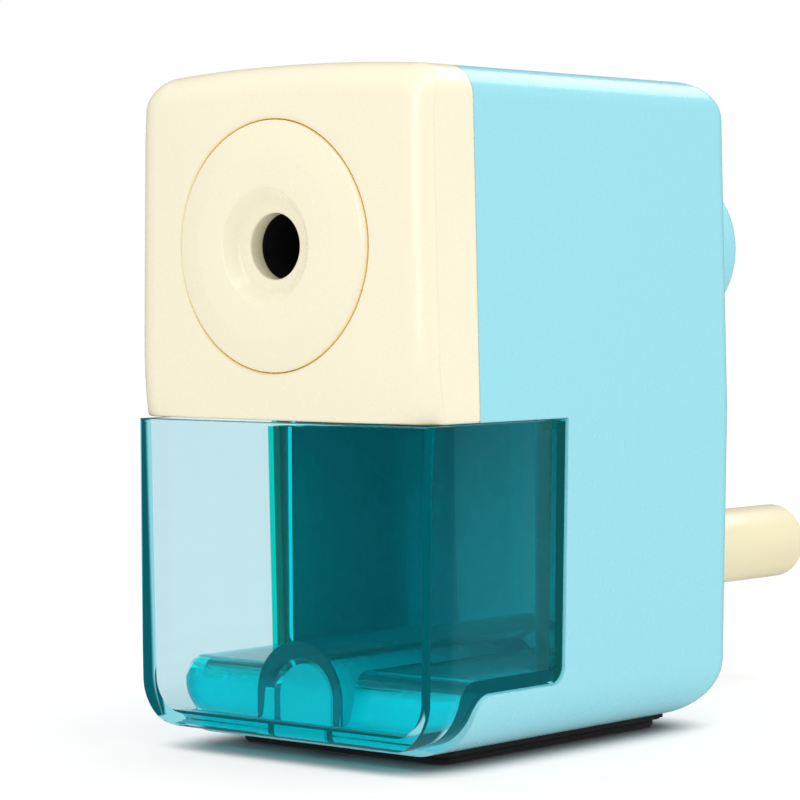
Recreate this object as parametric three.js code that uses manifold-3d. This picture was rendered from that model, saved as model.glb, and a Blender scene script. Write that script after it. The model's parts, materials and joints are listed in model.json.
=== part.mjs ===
// Desk crank pencil sharpener, modelled in millimetres, +Z up, front facing -Y.
// The origin is the centre of the foot pad's underside. Every piece is its own closed, named mesh.
import * as THREE from "three";
import { mergeVertices } from "three/addons/utils/BufferGeometryUtils.js";
import Module from "manifold-3d";

const wasm = await Module();
wasm.setup();

// ---- Driving dimensions -------------------------------------------------------------------------------
// Casing: the housing and the front cover share one outline.
const HALF_WIDTH = 29.3; // at the seam, where they are widest
const TOP_HALF_WIDTH = 28.3; // the sides lean in above the seam
const BOTTOM_HALF_WIDTH = 28.4; // and below it
const FRONT_Y = -39; // the drawer's front face
const BACK_Y = 35; // the housing's back face
const HOUSING_BOTTOM = 2.1;
const LIP_TOP = 3.1; // the housing's lip, under the drawer
const LIP_FRONT_Y = -32.2;
const SEAM_Z = 49.8; // under the front cover, over the drawer
const TOP_Z = 100.5; // top of the sides
const CROWN = 0.8; // how much the roof rises in its middle
const TOP_RADIUS = 4.8;
const BOTTOM_RADIUS = 8;
const BACK_TOP_R = 8.5;
const BACK_BOTTOM_R = 8;
const BACK_CORNER_R = 4;
const WALL = 2.4;
const GAP = 0.3; // between pieces that touch
const BEYOND = 60; // past the part's outside, for tools that cut right through
const CURVE = 7; // segments in a rounded corner

// Inside the housing.
const AXIS_Z = 75; // the shaft's height, and the pencil's
const FLOOR_Z = 10.8; // top of the floor, which the drawer slides on
const FLOOR_THICKNESS = 2.2;
const UNDER_HALF_WIDTH = 21.5; // the hollow under the floor
const BULKHEAD_Y = -27.6; // the wall behind the front cover
const BULKHEAD_THICKNESS = 2;
const BULKHEAD_BACK_Y = BULKHEAD_Y + BULKHEAD_THICKNESS;
const BULKHEAD_BOTTOM = 52;
const RAIL_R = 5; // the guide rail under the drawer
const RAIL_TOP_Z = 14;
const RAIL_FRONT_Y = -31.7; // the rail's nose stands out over the lip
const RAIL_BACK_Y = 12;
const STEP_START_Y = -31.2; // where the sill starts to rise behind the lip
const STEP_LOW_R = 1.8;
const STEP_HIGH_R = 3.8;
const STEP_ANGLE = (76 * Math.PI) / 180;

// Front cover, guide disc and sleeve.
const COVER_FACE_Y = FRONT_Y - 1.2; // the cover bulges past the drawer
const COVER_BACK_Y = -28.4;
const COVER_WALL = 2.4;
const COVER_TOP_R = 5;
const DISC_HOLE_R = 18.3;
const DISC_LEDGE_R = 16.6;
const DISC_LEDGE_Y = COVER_FACE_Y + 1.7;
const PENCIL_HOLE_R = 4.8;
const SLEEVE_R = 8;

// Screws: a hole in one piece and a pilot in the other's boss.
const SCREW_R = 1.35;
const PILOT_R = 1.7;
const CLEARANCE_R = 1.8;
const BOSS_R = 3.2;
const COVER_SCREWS = [[-22.5, 92], [22.5, 92], [-22.5, 57.5], [22.5, 57.5]]; // (x, z)
const BASE_SCREWS = [[-17, -19], [17, -19], [-17, 17], [17, 17]]; // (x, y), under the foot pad

// Base plate and foot pad.
const PLATE_BOTTOM = 1.3;
const PLATE_TOP = HOUSING_BOTTOM - 0.2;
const PLATE_HALF_WIDTH = 21;
const PLATE_FRONT_Y = -26.9;
const PLATE_INNER_TOP = 3.7; // the plate's raised middle, inside the housing
const PLATE_INNER_FRONT_Y = -25.6;
const PAD_HALF_WIDTH = 20.5;
const PAD_HALF_LENGTH = 26.5;
const PAD_CORNER_R = 3;

// Drawer: a full-width front that shows, and a narrower tray behind it inside the housing.
const DRAWER_BOTTOM = 3.4;
const DRAWER_HALF_WIDTH = 29;
const DRAWER_SIDE_BACK_Y = -8.4; // where the full-width part ends
const DRAWER_WALL = 1.9;
const DRAWER_CORNER_R = 1.4;
const DRAWER_BACK_Y = 20;
const TRAY_HALF_WIDTH = 25.6;
const TRAY_WALL = 1.9;
const TRAY_DROP = 1.4; // how much lower the tray's rim is than the front's

// Cutter holder, held in the back wall by three lugs.
const HOLDER_HOLE_R = 15.8;
const LUG_R = 17.6;
const LUG_WIDTH = Math.PI / 6;
const LUGS = 3;
const GRIP_RIBS = 16;

// Cutter and gears. The cutter leans by the pencil point's half angle and rolls inside the ring gear.
const CONE_ANGLE = (10 * Math.PI) / 180;
const CUTTER_R = 4.9;
const BLADES = 12;
const BLADE_TWIST = 1.9; // radians over the roller's length
const ROLLER_LENGTH = 25.5;
const ROLLER_END = -3.6; // along the cutter's axis, in front of the pinion
const TIP_Y = 16; // where the pencil's point ends
const GEAR_Y = 20; // middle of the ring gear and the pinion
const GEAR_WIDTH = 4;
const PINION_TEETH = 14;
const RING_TEETH = 28;
const AXIS_OFFSET_AT_GEAR = 4.6; // from the shaft's axis to the cutter's
const PINION_R = (AXIS_OFFSET_AT_GEAR * PINION_TEETH) / (RING_TEETH - PINION_TEETH);
const RING_R = PINION_R + AXIS_OFFSET_AT_GEAR;
const MODULE = (2 * PINION_R) / PINION_TEETH;
const RING_CONE = AXIS_OFFSET_AT_GEAR / Math.tan(CONE_ANGLE); // from the gears' middle to their apex
const PINION_CONE = RING_CONE / Math.cos(CONE_ANGLE);
const AXLE_R = 1.2;
const AXLE_FRONT = -32.6; // along the cutter's axis
const AXLE_BACK = 4.8;
const CARRIER_FRONT_Y = -15;
const CARRIER_RING_R = 15;
const CARRIER_TROUGH_R = 13.2;

// Shaft, crank and knob.
const SHAFT_R = 3;
const FLAT_HEIGHT = 2.2; // from the shaft's axis to the flat that drives the crank
const CRANK_LENGTH = 50.8;
const CRANK_FRONT_Y = 52.7;
const CRANK_BACK_Y = 58.3;
const CRANK_END_R = 7.1;
const HUB_R = 13.7;
const KNOB_R = 6.3;
const KNOB_FRONT_Y = 59;
const KNOB_BACK_Y = 89;
const KNOB_RECESS = 6;
const KNOB_RECESS_R = 3.7;
const PIN_R = 1.7;

// ---- Solids from three.js geometry --------------------------------------------------------------------
function solid(geometry) {
  const bare = geometry.clone();
  bare.deleteAttribute("normal");
  bare.deleteAttribute("uv");
  const merged = mergeVertices(bare, 1e-4);
  const mesh = new wasm.Mesh({
    numProp: 3,
    vertProperties: merged.attributes.position.array,
    triVerts: new Uint32Array(merged.index.array),
  });
  return new wasm.Manifold(mesh);
}

function geometryOf(manifold) {
  const mesh = manifold.getMesh();
  const geometry = new THREE.BufferGeometry();
  geometry.setAttribute("position", new THREE.BufferAttribute(mesh.vertProperties, 3));
  geometry.setIndex(new THREE.BufferAttribute(mesh.triVerts, 1));
  geometry.computeVertexNormals();
  return geometry;
}

const X = new THREE.Vector3(1, 0, 0);
const Y = new THREE.Vector3(0, 1, 0);
const Z = new THREE.Vector3(0, 0, 1);

function shapeOf(points) {
  if (points instanceof THREE.Shape) return points;
  return new THREE.Shape(points.map(([u, v]) => new THREE.Vector2(u, v)));
}

function extruded(shape, depth, steps = 1) {
  const settings = { depth, steps, bevelEnabled: false, curveSegments: CURVE };
  return new THREE.ExtrudeGeometry(shapeOf(shape), settings);
}

// A side profile in (y, z), extruded across from x0 to x1.
function alongX(profile, x0, x1) {
  const g = extruded(profile, x1 - x0);
  g.applyMatrix4(new THREE.Matrix4().makeBasis(Y, Z, X));
  return solid(g.translate(x0, 0, 0));
}

// A front profile in (x, z), extruded from y0 back to y1.
function alongY(profile, y0, y1) {
  const g = extruded(profile, y1 - y0);
  g.applyMatrix4(new THREE.Matrix4().makeBasis(X, Z, Y.clone().negate()));
  return solid(g.translate(0, y1, 0));
}

// A plan profile in (x, y), extruded up from z0 to z1.
function alongZ(profile, z0, z1) {
  return solid(extruded(profile, z1 - z0).translate(0, 0, z0));
}

function box(x0, x1, y0, y1, z0, z1) {
  const g = new THREE.BoxGeometry(x1 - x0, y1 - y0, z1 - z0);
  return solid(g.translate((x0 + x1) / 2, (y0 + y1) / 2, (z0 + z1) / 2));
}

// A turned piece on the shaft's axis. The profile is (radius, y), running so that its faces point out.
function turned(profile, segments = 36) {
  const points = profile.map(([r, y]) => new THREE.Vector2(r, y));
  if (profile[0][0] > 0) points.push(points[0].clone());
  const made = solid(new THREE.LatheGeometry(points, segments));
  const outward = made.volume() < 0 ? solid(new THREE.LatheGeometry(points.reverse(), segments)) : made;
  return outward.translate([0, 0, AXIS_Z]);
}

// A plain round bar or hole along Y, at (x, z).
function barY(radius, y0, y1, x = 0, z = AXIS_Z, segments = 32) {
  const g = new THREE.CylinderGeometry(radius, radius, y1 - y0, segments);
  return solid(g.translate(x, (y0 + y1) / 2, z));
}

function barZ(radius, z0, z1, x, y, segments = 16) {
  const g = new THREE.CylinderGeometry(radius, radius, z1 - z0, segments);
  g.applyMatrix4(new THREE.Matrix4().makeRotationX(Math.PI / 2));
  return solid(g.translate(x, y, (z0 + z1) / 2));
}

function union(...parts) {
  return parts.reduce((a, b) => a.add(b));
}

// A rectangle with one radius for each corner, from the low-left one round anticlockwise.
function roundedRect(u0, u1, v0, v1, [r0, r1, r2, r3]) {
  const s = new THREE.Shape();
  s.moveTo(u0 + r0, v0);
  s.lineTo(u1 - r1, v0);
  if (r1) s.absarc(u1 - r1, v0 + r1, r1, -Math.PI / 2, 0, false);
  s.lineTo(u1, v1 - r2);
  if (r2) s.absarc(u1 - r2, v1 - r2, r2, 0, Math.PI / 2, false);
  s.lineTo(u0 + r3, v1);
  if (r3) s.absarc(u0 + r3, v1 - r3, r3, Math.PI / 2, Math.PI, false);
  s.lineTo(u0, v0 + r0);
  if (r0) s.absarc(u0 + r0, v0 + r0, r0, Math.PI, 1.5 * Math.PI, false);
  return s;
}

// Points on an arc, ends included.
function arc(cu, cv, r, from, to, n = CURVE) {
  return Array.from({ length: n + 1 }, (_, i) => {
    const a = from + ((to - from) * i) / n;
    return [cu + r * Math.cos(a), cv + r * Math.sin(a)];
  });
}

// ---- Shared outlines ----------------------------------------------------------------------------------
// The casing's front view in (x, z): sides that lean in from the seam, rounded shoulders and a crowned
// roof. inset shrinks it evenly, for what lies inside it. bottomRadius rounds its two lower corners.
function casingSection(inset, bottom, bottomRadius = 0) {
  const r = Math.max(TOP_RADIUS - inset, 1.5);
  const wide = HALF_WIDTH - inset;
  const high = TOP_HALF_WIDTH - inset;
  const low = BOTTOM_HALF_WIDTH - inset;
  const roof = TOP_Z - inset;
  const shoulder = arc(high - r, roof - r, r, 0, Math.PI / 2);
  const crown = [-12, 0, 12].map((x) => [-x, roof + CROWN * (1 - (x / high) ** 2)]);
  const left = shoulder.map(([x, z]) => [-x, z]).reverse();
  const upper = [[wide, SEAM_Z], ...shoulder, ...crown, ...left, [-wide, SEAM_Z]];
  return [...lowerEdge(low, bottom, bottomRadius), ...upper];
}

// The lower edge of a section, from its left side round to its right.
function lowerEdge(half, bottom, radius) {
  if (!radius) return [[-half, bottom], [half, bottom]];
  const right = arc(half - radius, bottom + radius, radius, -Math.PI / 2, 0);
  return [...right.map(([x, z]) => [-x, z]).reverse(), ...right];
}

// The step that the housing's sill and the drawer's underside share, in (y, z): level on the lip, up, then
// level on the floor.
function step(dy, dz) {
  const level = -Math.PI / 2;
  const arcsRise = (STEP_LOW_R + STEP_HIGH_R) * (1 - Math.cos(STEP_ANGLE));
  const riser = (FLOOR_Z - LIP_TOP - arcsRise) / Math.sin(STEP_ANGLE);
  const low = arc(STEP_START_Y + dy, LIP_TOP + STEP_LOW_R + dz, STEP_LOW_R, level, level + STEP_ANGLE, 4);
  const highY = low.at(-1)[0] + riser * Math.cos(STEP_ANGLE) + STEP_HIGH_R * Math.sin(STEP_ANGLE);
  const high = arc(highY, FLOOR_Z - STEP_HIGH_R + dz, STEP_HIGH_R, -level + STEP_ANGLE, -level, 5);
  return [...low, ...high];
}

// An upright arch in (x, z), standing on bottom.
function archSection(radius, top, bottom) {
  return [[-radius, bottom], [radius, bottom], ...arc(0, top - radius, radius, 0, Math.PI, 12)];
}

// ---- Housing ------------------------------------------------------------------------------------------
function housingOutside() {
  const cheekR = 2.2; // where the side walls meet the floor beside the drawer
  const side = [
    [LIP_FRONT_Y, HOUSING_BOTTOM],
    [LIP_FRONT_Y, LIP_TOP],
    ...step(0, 0),
    ...arc(DRAWER_SIDE_BACK_Y - cheekR, FLOOR_Z + cheekR + GAP, cheekR + GAP, -Math.PI / 2, 0, 6),
    [DRAWER_SIDE_BACK_Y + GAP, SEAM_Z],
    [COVER_BACK_Y + GAP / 2, SEAM_Z],
    [COVER_BACK_Y + GAP / 2, TOP_Z + 2],
    ...arc(BACK_Y - BACK_TOP_R, TOP_Z + CROWN - BACK_TOP_R, BACK_TOP_R, Math.PI / 2, 0),
    ...arc(BACK_Y - BACK_BOTTOM_R, HOUSING_BOTTOM + BACK_BOTTOM_R, BACK_BOTTOM_R, 0, -Math.PI / 2),
  ];
  const plan = roundedRect(-HALF_WIDTH, HALF_WIDTH, -BEYOND, BACK_Y, [0, 0, BACK_CORNER_R, BACK_CORNER_R]);
  return alongX(side.reverse(), -BEYOND, BEYOND)
    .intersect(alongY(casingSection(0, HOUSING_BOTTOM, BOTTOM_RADIUS), -BEYOND, BEYOND))
    .intersect(alongZ(plan, 0, 2 * BEYOND));
}

// The hollow under the floor, which the base plate closes.
function underFloor() {
  const top = FLOOR_Z - FLOOR_THICKNESS;
  const profile = [[-27.2, 0], [BACK_Y - 6, 0], [BACK_Y - 6, top], [-24.6, top]];
  return alongX(profile, -UNDER_HALF_WIDTH, UNDER_HALF_WIDTH);
}

function bulkhead() {
  const y = BULKHEAD_Y;
  return box(-27, 27, y, BULKHEAD_BACK_Y, BULKHEAD_BOTTOM, 99)
    .subtract(barY(SLEEVE_R + GAP, y - 2, y + 6))
    .subtract(union(...COVER_SCREWS.map(([x, z]) => barY(CLEARANCE_R, y - 2, y + 6, x, z, 10))))
    .intersect(alongY(casingSection(WALL - 0.5, 0), -BEYOND, BEYOND));
}

// The rail that guides the drawer's tunnel, hollow inside and open under the floor.
function guideRail() {
  const plateRoom = box(-RAIL_R - 1, RAIL_R + 1, PLATE_INNER_FRONT_Y - 0.9, 40, 0, PLATE_INNER_TOP + 1);
  const arch = archSection(RAIL_R, RAIL_TOP_Z, HOUSING_BOTTOM + 0.5);
  return alongY(arch, RAIL_FRONT_Y, RAIL_BACK_Y).subtract(plateRoom);
}

// The notches that let the cutter holder's lugs through the back wall before it is turned.
function lugNotches() {
  const half = LUG_WIDTH * 0.6;
  const notch = (a) => {
    const points = [[0, 0], ...arc(0, 0, LUG_R + 0.5, a - half, a + half, 6)];
    return alongY(points, BACK_Y - 2 * WALL, BACK_Y + 5).translate([0, 0, AXIS_Z]);
  };
  return union(...Array.from({ length: LUGS }, (_, i) => notch(Math.PI / 6 + (2 * Math.PI * i) / LUGS)));
}

// The chamber's side view. Its top corner is rounded, so that the wall stays as thick round the back edge.
function chamberSide() {
  const corner = arc(BACK_Y - BACK_TOP_R, TOP_Z + CROWN - BACK_TOP_R, BACK_TOP_R - WALL, 0, Math.PI / 2);
  const profile = [[-BEYOND, 0], [BACK_Y - WALL, 0], ...corner, [-BEYOND, TOP_Z + CROWN - WALL]];
  return alongX(profile, -BEYOND, BEYOND);
}

function housing() {
  const chamber = alongY(casingSection(WALL, FLOOR_Z), -BEYOND, BACK_Y).intersect(chamberSide());
  const bossBottom = PLATE_INNER_TOP + GAP;
  const bosses = BASE_SCREWS.map(([x, y]) => barZ(BOSS_R, bossBottom, FLOOR_Z - 1, x, y, 16));
  const pilots = BASE_SCREWS.map(([x, y]) => barZ(PILOT_R, 0, 8.4, x, y, 10));
  const railWall = 2;
  const railArch = archSection(RAIL_R - railWall, RAIL_TOP_Z - railWall, 0);
  return housingOutside()
    .subtract(chamber)
    .subtract(underFloor())
    .add(bulkhead())
    .add(guideRail())
    .subtract(alongY(railArch, RAIL_FRONT_Y + railWall, RAIL_BACK_Y - railWall))
    .add(union(...bosses))
    .subtract(union(...pilots))
    .subtract(barY(HOLDER_HOLE_R, BACK_Y - 5, BACK_Y + 5, 0, AXIS_Z, 40))
    .subtract(lugNotches());
}

// ---- Front cover, guide disc and sleeve ---------------------------------------------------------------
function coverOutside() {
  const edgeY = FRONT_Y + 1.6; // where the face meets the sides in a crease
  const plan = [
    [HALF_WIDTH, COVER_BACK_Y - GAP / 2],
    [-HALF_WIDTH, COVER_BACK_Y - GAP / 2],
    [-HALF_WIDTH, edgeY],
    [-HALF_WIDTH + 1.5, edgeY - 1.4],
    [-HALF_WIDTH + 4.5, COVER_FACE_Y + 0.35],
    [-HALF_WIDTH + 9, COVER_FACE_Y],
  ];
  const mirrored = plan.slice(2).map(([x, y]) => [-x, y]).reverse();
  const faceTopY = COVER_FACE_Y + 1.2;
  const roof = TOP_Z + CROWN;
  const side = [
    [COVER_BACK_Y, SEAM_Z],
    [COVER_BACK_Y, roof],
    ...arc(faceTopY + COVER_TOP_R, roof - COVER_TOP_R, COVER_TOP_R, Math.PI / 2, Math.PI),
    [COVER_FACE_Y, AXIS_Z + 19],
    [COVER_FACE_Y, AXIS_Z - 19],
    [FRONT_Y - 0.2, SEAM_Z],
  ];
  return alongY(casingSection(0, SEAM_Z), -BEYOND, BEYOND)
    .intersect(alongZ([...plan, ...mirrored].reverse(), 40, 2 * BEYOND))
    .intersect(alongX(side.reverse(), -BEYOND, BEYOND));
}

function frontCover() {
  const outside = coverOutside();
  const sill = box(-BEYOND, BEYOND, -BEYOND, 0, SEAM_Z + COVER_WALL - 0.2, 2 * BEYOND);
  const cavity = alongY(casingSection(COVER_WALL, 20), COVER_FACE_Y + COVER_WALL, 0).intersect(sill);
  const bossFront = COVER_FACE_Y + 2;
  const bosses = COVER_SCREWS.map(([x, z]) => barY(BOSS_R, bossFront, BULKHEAD_Y - GAP, x, z, 16));
  const pilots = COVER_SCREWS.map(([x, z]) => barY(PILOT_R, FRONT_Y + 2.2, 0, x, z, 10));
  return outside
    .subtract(cavity)
    .add(union(...bosses).intersect(outside))
    .subtract(union(...pilots))
    .subtract(barY(DISC_HOLE_R, -BEYOND, DISC_LEDGE_Y, 0, AXIS_Z, 48))
    .subtract(barY(DISC_LEDGE_R, -BEYOND, COVER_FACE_Y + 5, 0, AXIS_Z, 48));
}

// A dished disc round the pencil hole, with a skirt that stands on the cover's ledge.
function guideDisc() {
  const rim = DISC_HOLE_R - 0.35;
  const rimY = COVER_FACE_Y - 0.15;
  const bowlY = FRONT_Y - 2.35;
  return turned(
    [
      [PENCIL_HOLE_R, FRONT_Y + 2.7],
      [PENCIL_HOLE_R, FRONT_Y + 0.3],
      [PENCIL_HOLE_R + 0.3, FRONT_Y - 0.1],
      [6.4, FRONT_Y - 0.9],
      [7.9, FRONT_Y - 1.9],
      [8.7, bowlY],
      [10.2, bowlY - 0.05],
      [14, rimY - 0.75],
      [rim - 0.6, rimY - 0.2],
      [rim, rimY + 0.5],
      [rim, DISC_LEDGE_Y - GAP],
      [DISC_LEDGE_R - GAP, DISC_LEDGE_Y - GAP],
      [DISC_LEDGE_R - GAP, FRONT_Y + 2.7],
      [14.5, FRONT_Y + 2.7],
      [14, FRONT_Y + 0.8],
      [7, FRONT_Y + 0.8],
      [7, FRONT_Y + 2.7],
    ],
    40,
  );
}

// The tube behind the disc that leads the pencil to the cutter. Its collar meets the bulkhead.
function guideSleeve() {
  return turned(
    [
      [5.5, FRONT_Y + 3.2],
      [SLEEVE_R, FRONT_Y + 3.2],
      [SLEEVE_R, FRONT_Y + 9],
      [SLEEVE_R + 3, FRONT_Y + 9],
      [SLEEVE_R + 3, BULKHEAD_Y - GAP],
      [SLEEVE_R, BULKHEAD_Y - GAP],
      [SLEEVE_R, FRONT_Y + 20],
      [6.5, FRONT_Y + 22],
      [4.4, FRONT_Y + 22],
      [4.4, FRONT_Y + 14],
    ],
    28,
  );
}

// A pan-head screw along Y, head at the far end.
function coverScrew(x, z) {
  const head = barY(2.8, BULKHEAD_BACK_Y + GAP, BULKHEAD_BACK_Y + 2, x, z, 16);
  return head.add(barY(SCREW_R, FRONT_Y + 3, BULKHEAD_BACK_Y + GAP + 0.1, x, z, 10));
}

// ---- Base plate, its screws and the foot pad ----------------------------------------------------------
function basePlate() {
  const wide = PLATE_HALF_WIDTH;
  const outer = roundedRect(-wide, wide, PLATE_FRONT_Y, BACK_Y - 8, [2, 2, 2, 2]);
  const w = UNDER_HALF_WIDTH - 0.4;
  const inner = roundedRect(-w, w, PLATE_INNER_FRONT_Y, BACK_Y - 8, [1, 1, 1, 1]);
  const holes = BASE_SCREWS.map(([x, y]) => {
    const sunk = barZ(2.5, 0, PLATE_BOTTOM + 1.2, x, y, 16);
    return sunk.add(barZ(CLEARANCE_R, 0, 9, x, y, 10));
  });
  return alongZ(outer, PLATE_BOTTOM, PLATE_TOP)
    .add(alongZ(inner, PLATE_BOTTOM + 0.2, PLATE_INNER_TOP))
    .subtract(union(...holes));
}

function baseScrew(x, y) {
  const head = barZ(2.2, PLATE_BOTTOM + 0.1, PLATE_BOTTOM + 0.9, x, y, 16);
  return head.add(barZ(SCREW_R, PLATE_BOTTOM + 0.8, 8, x, y, 10));
}

function footPad() {
  const w = PAD_HALF_WIDTH;
  const l = PAD_HALF_LENGTH;
  const r = PAD_CORNER_R;
  return alongZ(roundedRect(-w, w, -l, l, [r, r, r, r]), 0, PLATE_BOTTOM - 0.1);
}

// ---- Drawer -------------------------------------------------------------------------------------------
// The drawer's front view, or its hollow when inset.
function drawerSection(inset, bottom, top) {
  const high = DRAWER_HALF_WIDTH - inset;
  const low = lowerEdge(BOTTOM_HALF_WIDTH - GAP - inset, bottom, BOTTOM_RADIUS - 0.5 - inset);
  return [...low, [high, top], [-high, top]];
}

const DRAWER_TOP = SEAM_Z - GAP;
const DRAWER_FLOOR = FLOOR_Z + GAP; // its underside, over the housing's floor

// The full-width front of the drawer, solid.
function drawerFront() {
  const heelR = 2.4;
  const side = [
    [FRONT_Y + 1.2, DRAWER_BOTTOM],
    ...step(-GAP, DRAWER_BOTTOM - LIP_TOP),
    ...arc(DRAWER_SIDE_BACK_Y - heelR, DRAWER_FLOOR + heelR, heelR, -Math.PI / 2, 0, 5),
    [DRAWER_SIDE_BACK_Y, DRAWER_TOP],
    [FRONT_Y, DRAWER_TOP],
    [FRONT_Y, DRAWER_BOTTOM + 1.2],
    [FRONT_Y + 0.4, DRAWER_BOTTOM + 0.3],
  ];
  const r = DRAWER_CORNER_R;
  const wide = DRAWER_HALF_WIDTH;
  const cornerBack = FRONT_Y + 2.2;
  const plan = [
    [wide + 1, BEYOND],
    [-wide - 1, BEYOND],
    [-wide - 1, cornerBack],
    ...arc(-wide + r, FRONT_Y + r, r, Math.PI, 1.5 * Math.PI, 4),
    ...arc(wide - r, FRONT_Y + r, r, 1.5 * Math.PI, 2 * Math.PI, 4),
    [wide + 1, cornerBack],
  ];
  return alongX(side, -BEYOND, BEYOND)
    .intersect(alongY(drawerSection(0, DRAWER_BOTTOM, DRAWER_TOP + 1), -BEYOND, BEYOND))
    .intersect(alongZ(plan, 0, BEYOND));
}

// The hollow of the full-width front, open at the top.
function drawerFrontInside() {
  const wall = DRAWER_WALL;
  const backY = DRAWER_SIDE_BACK_Y - wall;
  const side = [
    [FRONT_Y + wall, DRAWER_BOTTOM + wall],
    ...step(-GAP - wall, DRAWER_BOTTOM - LIP_TOP + wall),
    [backY, DRAWER_FLOOR + wall],
    [backY, BEYOND],
    [FRONT_Y + wall, BEYOND],
  ];
  const front = drawerSection(wall, DRAWER_BOTTOM + wall, BEYOND);
  return alongX(side, -BEYOND, BEYOND).intersect(alongY(front, -BEYOND, BEYOND));
}

// A U-shaped block for the tray, or for its hollow when inset by its wall.
function trayBlock(inset, top, y0, y1) {
  const w = TRAY_HALF_WIDTH - inset;
  return alongY(roundedRect(-w, w, DRAWER_FLOOR + inset, top, [2, 2, 0, 0]), y0, y1);
}

function drawer() {
  const front = drawerFront();
  const tray = trayBlock(0, DRAWER_TOP - TRAY_DROP, DRAWER_SIDE_BACK_Y - 3.6, DRAWER_BACK_Y);
  const trayInside = trayBlock(TRAY_WALL, BEYOND, DRAWER_SIDE_BACK_Y - 5.6, DRAWER_BACK_Y - TRAY_WALL);
  const ridgeArch = archSection(RAIL_R + 3.2, RAIL_TOP_Z + 3.4, DRAWER_BOTTOM + 0.2);
  const ridge = alongY(ridgeArch, RAIL_FRONT_Y - 2.3, DRAWER_BACK_Y);
  const tunnelArch = archSection(RAIL_R + 0.8, RAIL_TOP_Z + 0.9, 0);
  return front
    .add(tray)
    .subtract(drawerFrontInside())
    .subtract(trayInside)
    .add(ridge.intersect(front.add(tray)))
    .subtract(alongY(tunnelArch, RAIL_FRONT_Y - 0.4, DRAWER_BACK_Y + 5));
}

// ---- Cutter unit --------------------------------------------------------------------------------------
// The barrel behind the casing. It holds the ring gear and the shaft's bush, and has ribs to grip it by.
function cutterHolder() {
  const body = turned(
    [
      [14, GEAR_Y - 2.4],
      [15.2, GEAR_Y - 2.4],
      [15.2, BACK_Y + GAP],
      [20, BACK_Y + GAP],
      [20, BACK_Y + 2],
      [19, BACK_Y + 3],
      [16.5, BACK_Y + 3],
      [14, CRANK_FRONT_Y - 1],
      [12, CRANK_FRONT_Y - 1],
      [12, BACK_Y + 6],
      [7.5, BACK_Y + 6],
      [7.5, CRANK_FRONT_Y - 1.2],
      [4.9, CRANK_FRONT_Y - 1.2],
      [4.9, GEAR_Y + 8],
      [9.3, GEAR_Y + 8],
      [9.3, GEAR_Y + 2.9],
      [14, GEAR_Y + 2.9],
    ],
    40,
  );
  const lug = (_, i) => {
    const a = -Math.PI / 6 + (2 * Math.PI * i) / LUGS;
    const points = [[0, 0], ...arc(0, 0, LUG_R, a - LUG_WIDTH / 2, a + LUG_WIDTH / 2, 6)];
    return alongY(points, BACK_Y - WALL - 2.6, BACK_Y - WALL - 0.4).translate([0, 0, AXIS_Z]);
  };
  const lugs = union(...Array.from({ length: LUGS }, lug));
  const ribs = Array.from({ length: GRIP_RIBS }, (_, i) => {
    const rib = box(-0.6, 0.6, BACK_Y + 2.5, BACK_Y + 12, 15, 17.3);
    return rib.rotate([0, (360 * i) / GRIP_RIBS, 0]).translate([0, 0, AXIS_Z]);
  });
  const grip = union(...ribs).subtract(barY(15.2, 0, 80));
  return body.add(grip).add(lugs.subtract(barY(15, 0, 80)));
}

// Tooth outline of a gear in its own plane. Teeth are trapezoids with a little backlash, and each takes
// its share of the pitch at the root and at the tip.
function gearOutline({ teeth, tipR, rootR, rootShare, phase }) {
  const tipShare = 0.2;
  const pitch = (2 * Math.PI) / teeth;
  const at = (r, a) => [r * Math.cos(a), r * Math.sin(a)];
  return Array.from({ length: teeth }, (_, i) => {
    const a = phase + i * pitch;
    const t = (tipShare * pitch) / 2;
    const b = (rootShare * pitch) / 2;
    return [at(rootR, a - b), at(tipR, a - t), at(tipR, a + t), at(rootR, a + b)];
  }).flat();
}

// Extrudes a gear outline along Z and shrinks it towards the far end, as a bevel gear.
function bevelled(outline, width, coneDistance) {
  const g = extruded(outline, width);
  const p = g.attributes.position;
  for (let i = 0; i < p.count; i++) {
    const k = 1 + (width / 2 - p.getZ(i)) / coneDistance;
    p.setXY(i, p.getX(i) * k, p.getY(i) * k);
  }
  return g.translate(0, 0, -width / 2);
}

function ringGear() {
  const inner = gearOutline({
    teeth: RING_TEETH,
    tipR: RING_R - 0.62 * MODULE,
    rootR: RING_R + 1.15 * MODULE,
    rootShare: 0.44,
    phase: 0,
  });
  const g = bevelled(inner, GEAR_WIDTH + 4, RING_CONE);
  g.applyMatrix4(new THREE.Matrix4().makeBasis(Z, X, Y)).translate(0, GEAR_Y, AXIS_Z);
  const blank = barY(13.7, GEAR_Y - GEAR_WIDTH / 2, GEAR_Y + GEAR_WIDTH / 2 + 0.5, 0, AXIS_Z, 48);
  return blank.subtract(solid(g));
}

// Places a solid made along its own +Z on the cutter's leaning axis, with z = 0 at the gears' middle.
function onCutterAxis(manifold) {
  const m = new THREE.Matrix4().makeBasis(
    X.clone().negate(),
    new THREE.Vector3(0, Math.sin(CONE_ANGLE), Math.cos(CONE_ANGLE)),
    new THREE.Vector3(0, Math.cos(CONE_ANGLE), -Math.sin(CONE_ANGLE)),
  );
  m.setPosition(0, GEAR_Y, AXIS_Z + AXIS_OFFSET_AT_GEAR);
  return manifold.transform(m.elements);
}

function cutterPinion() {
  const tooth = gearOutline({
    teeth: PINION_TEETH,
    tipR: PINION_R + 0.6 * MODULE,
    rootR: PINION_R - 1.1 * MODULE,
    rootShare: 0.5,
    phase: Math.PI / 2 + Math.PI / PINION_TEETH, // a gap faces the ring's tooth at the mesh
  });
  const g = bevelled(tooth, GEAR_WIDTH - 1, PINION_CONE);
  return onCutterAxis(solid(g)).subtract(axleBar(AXLE_R + 0.15, -10, 10));
}

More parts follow.
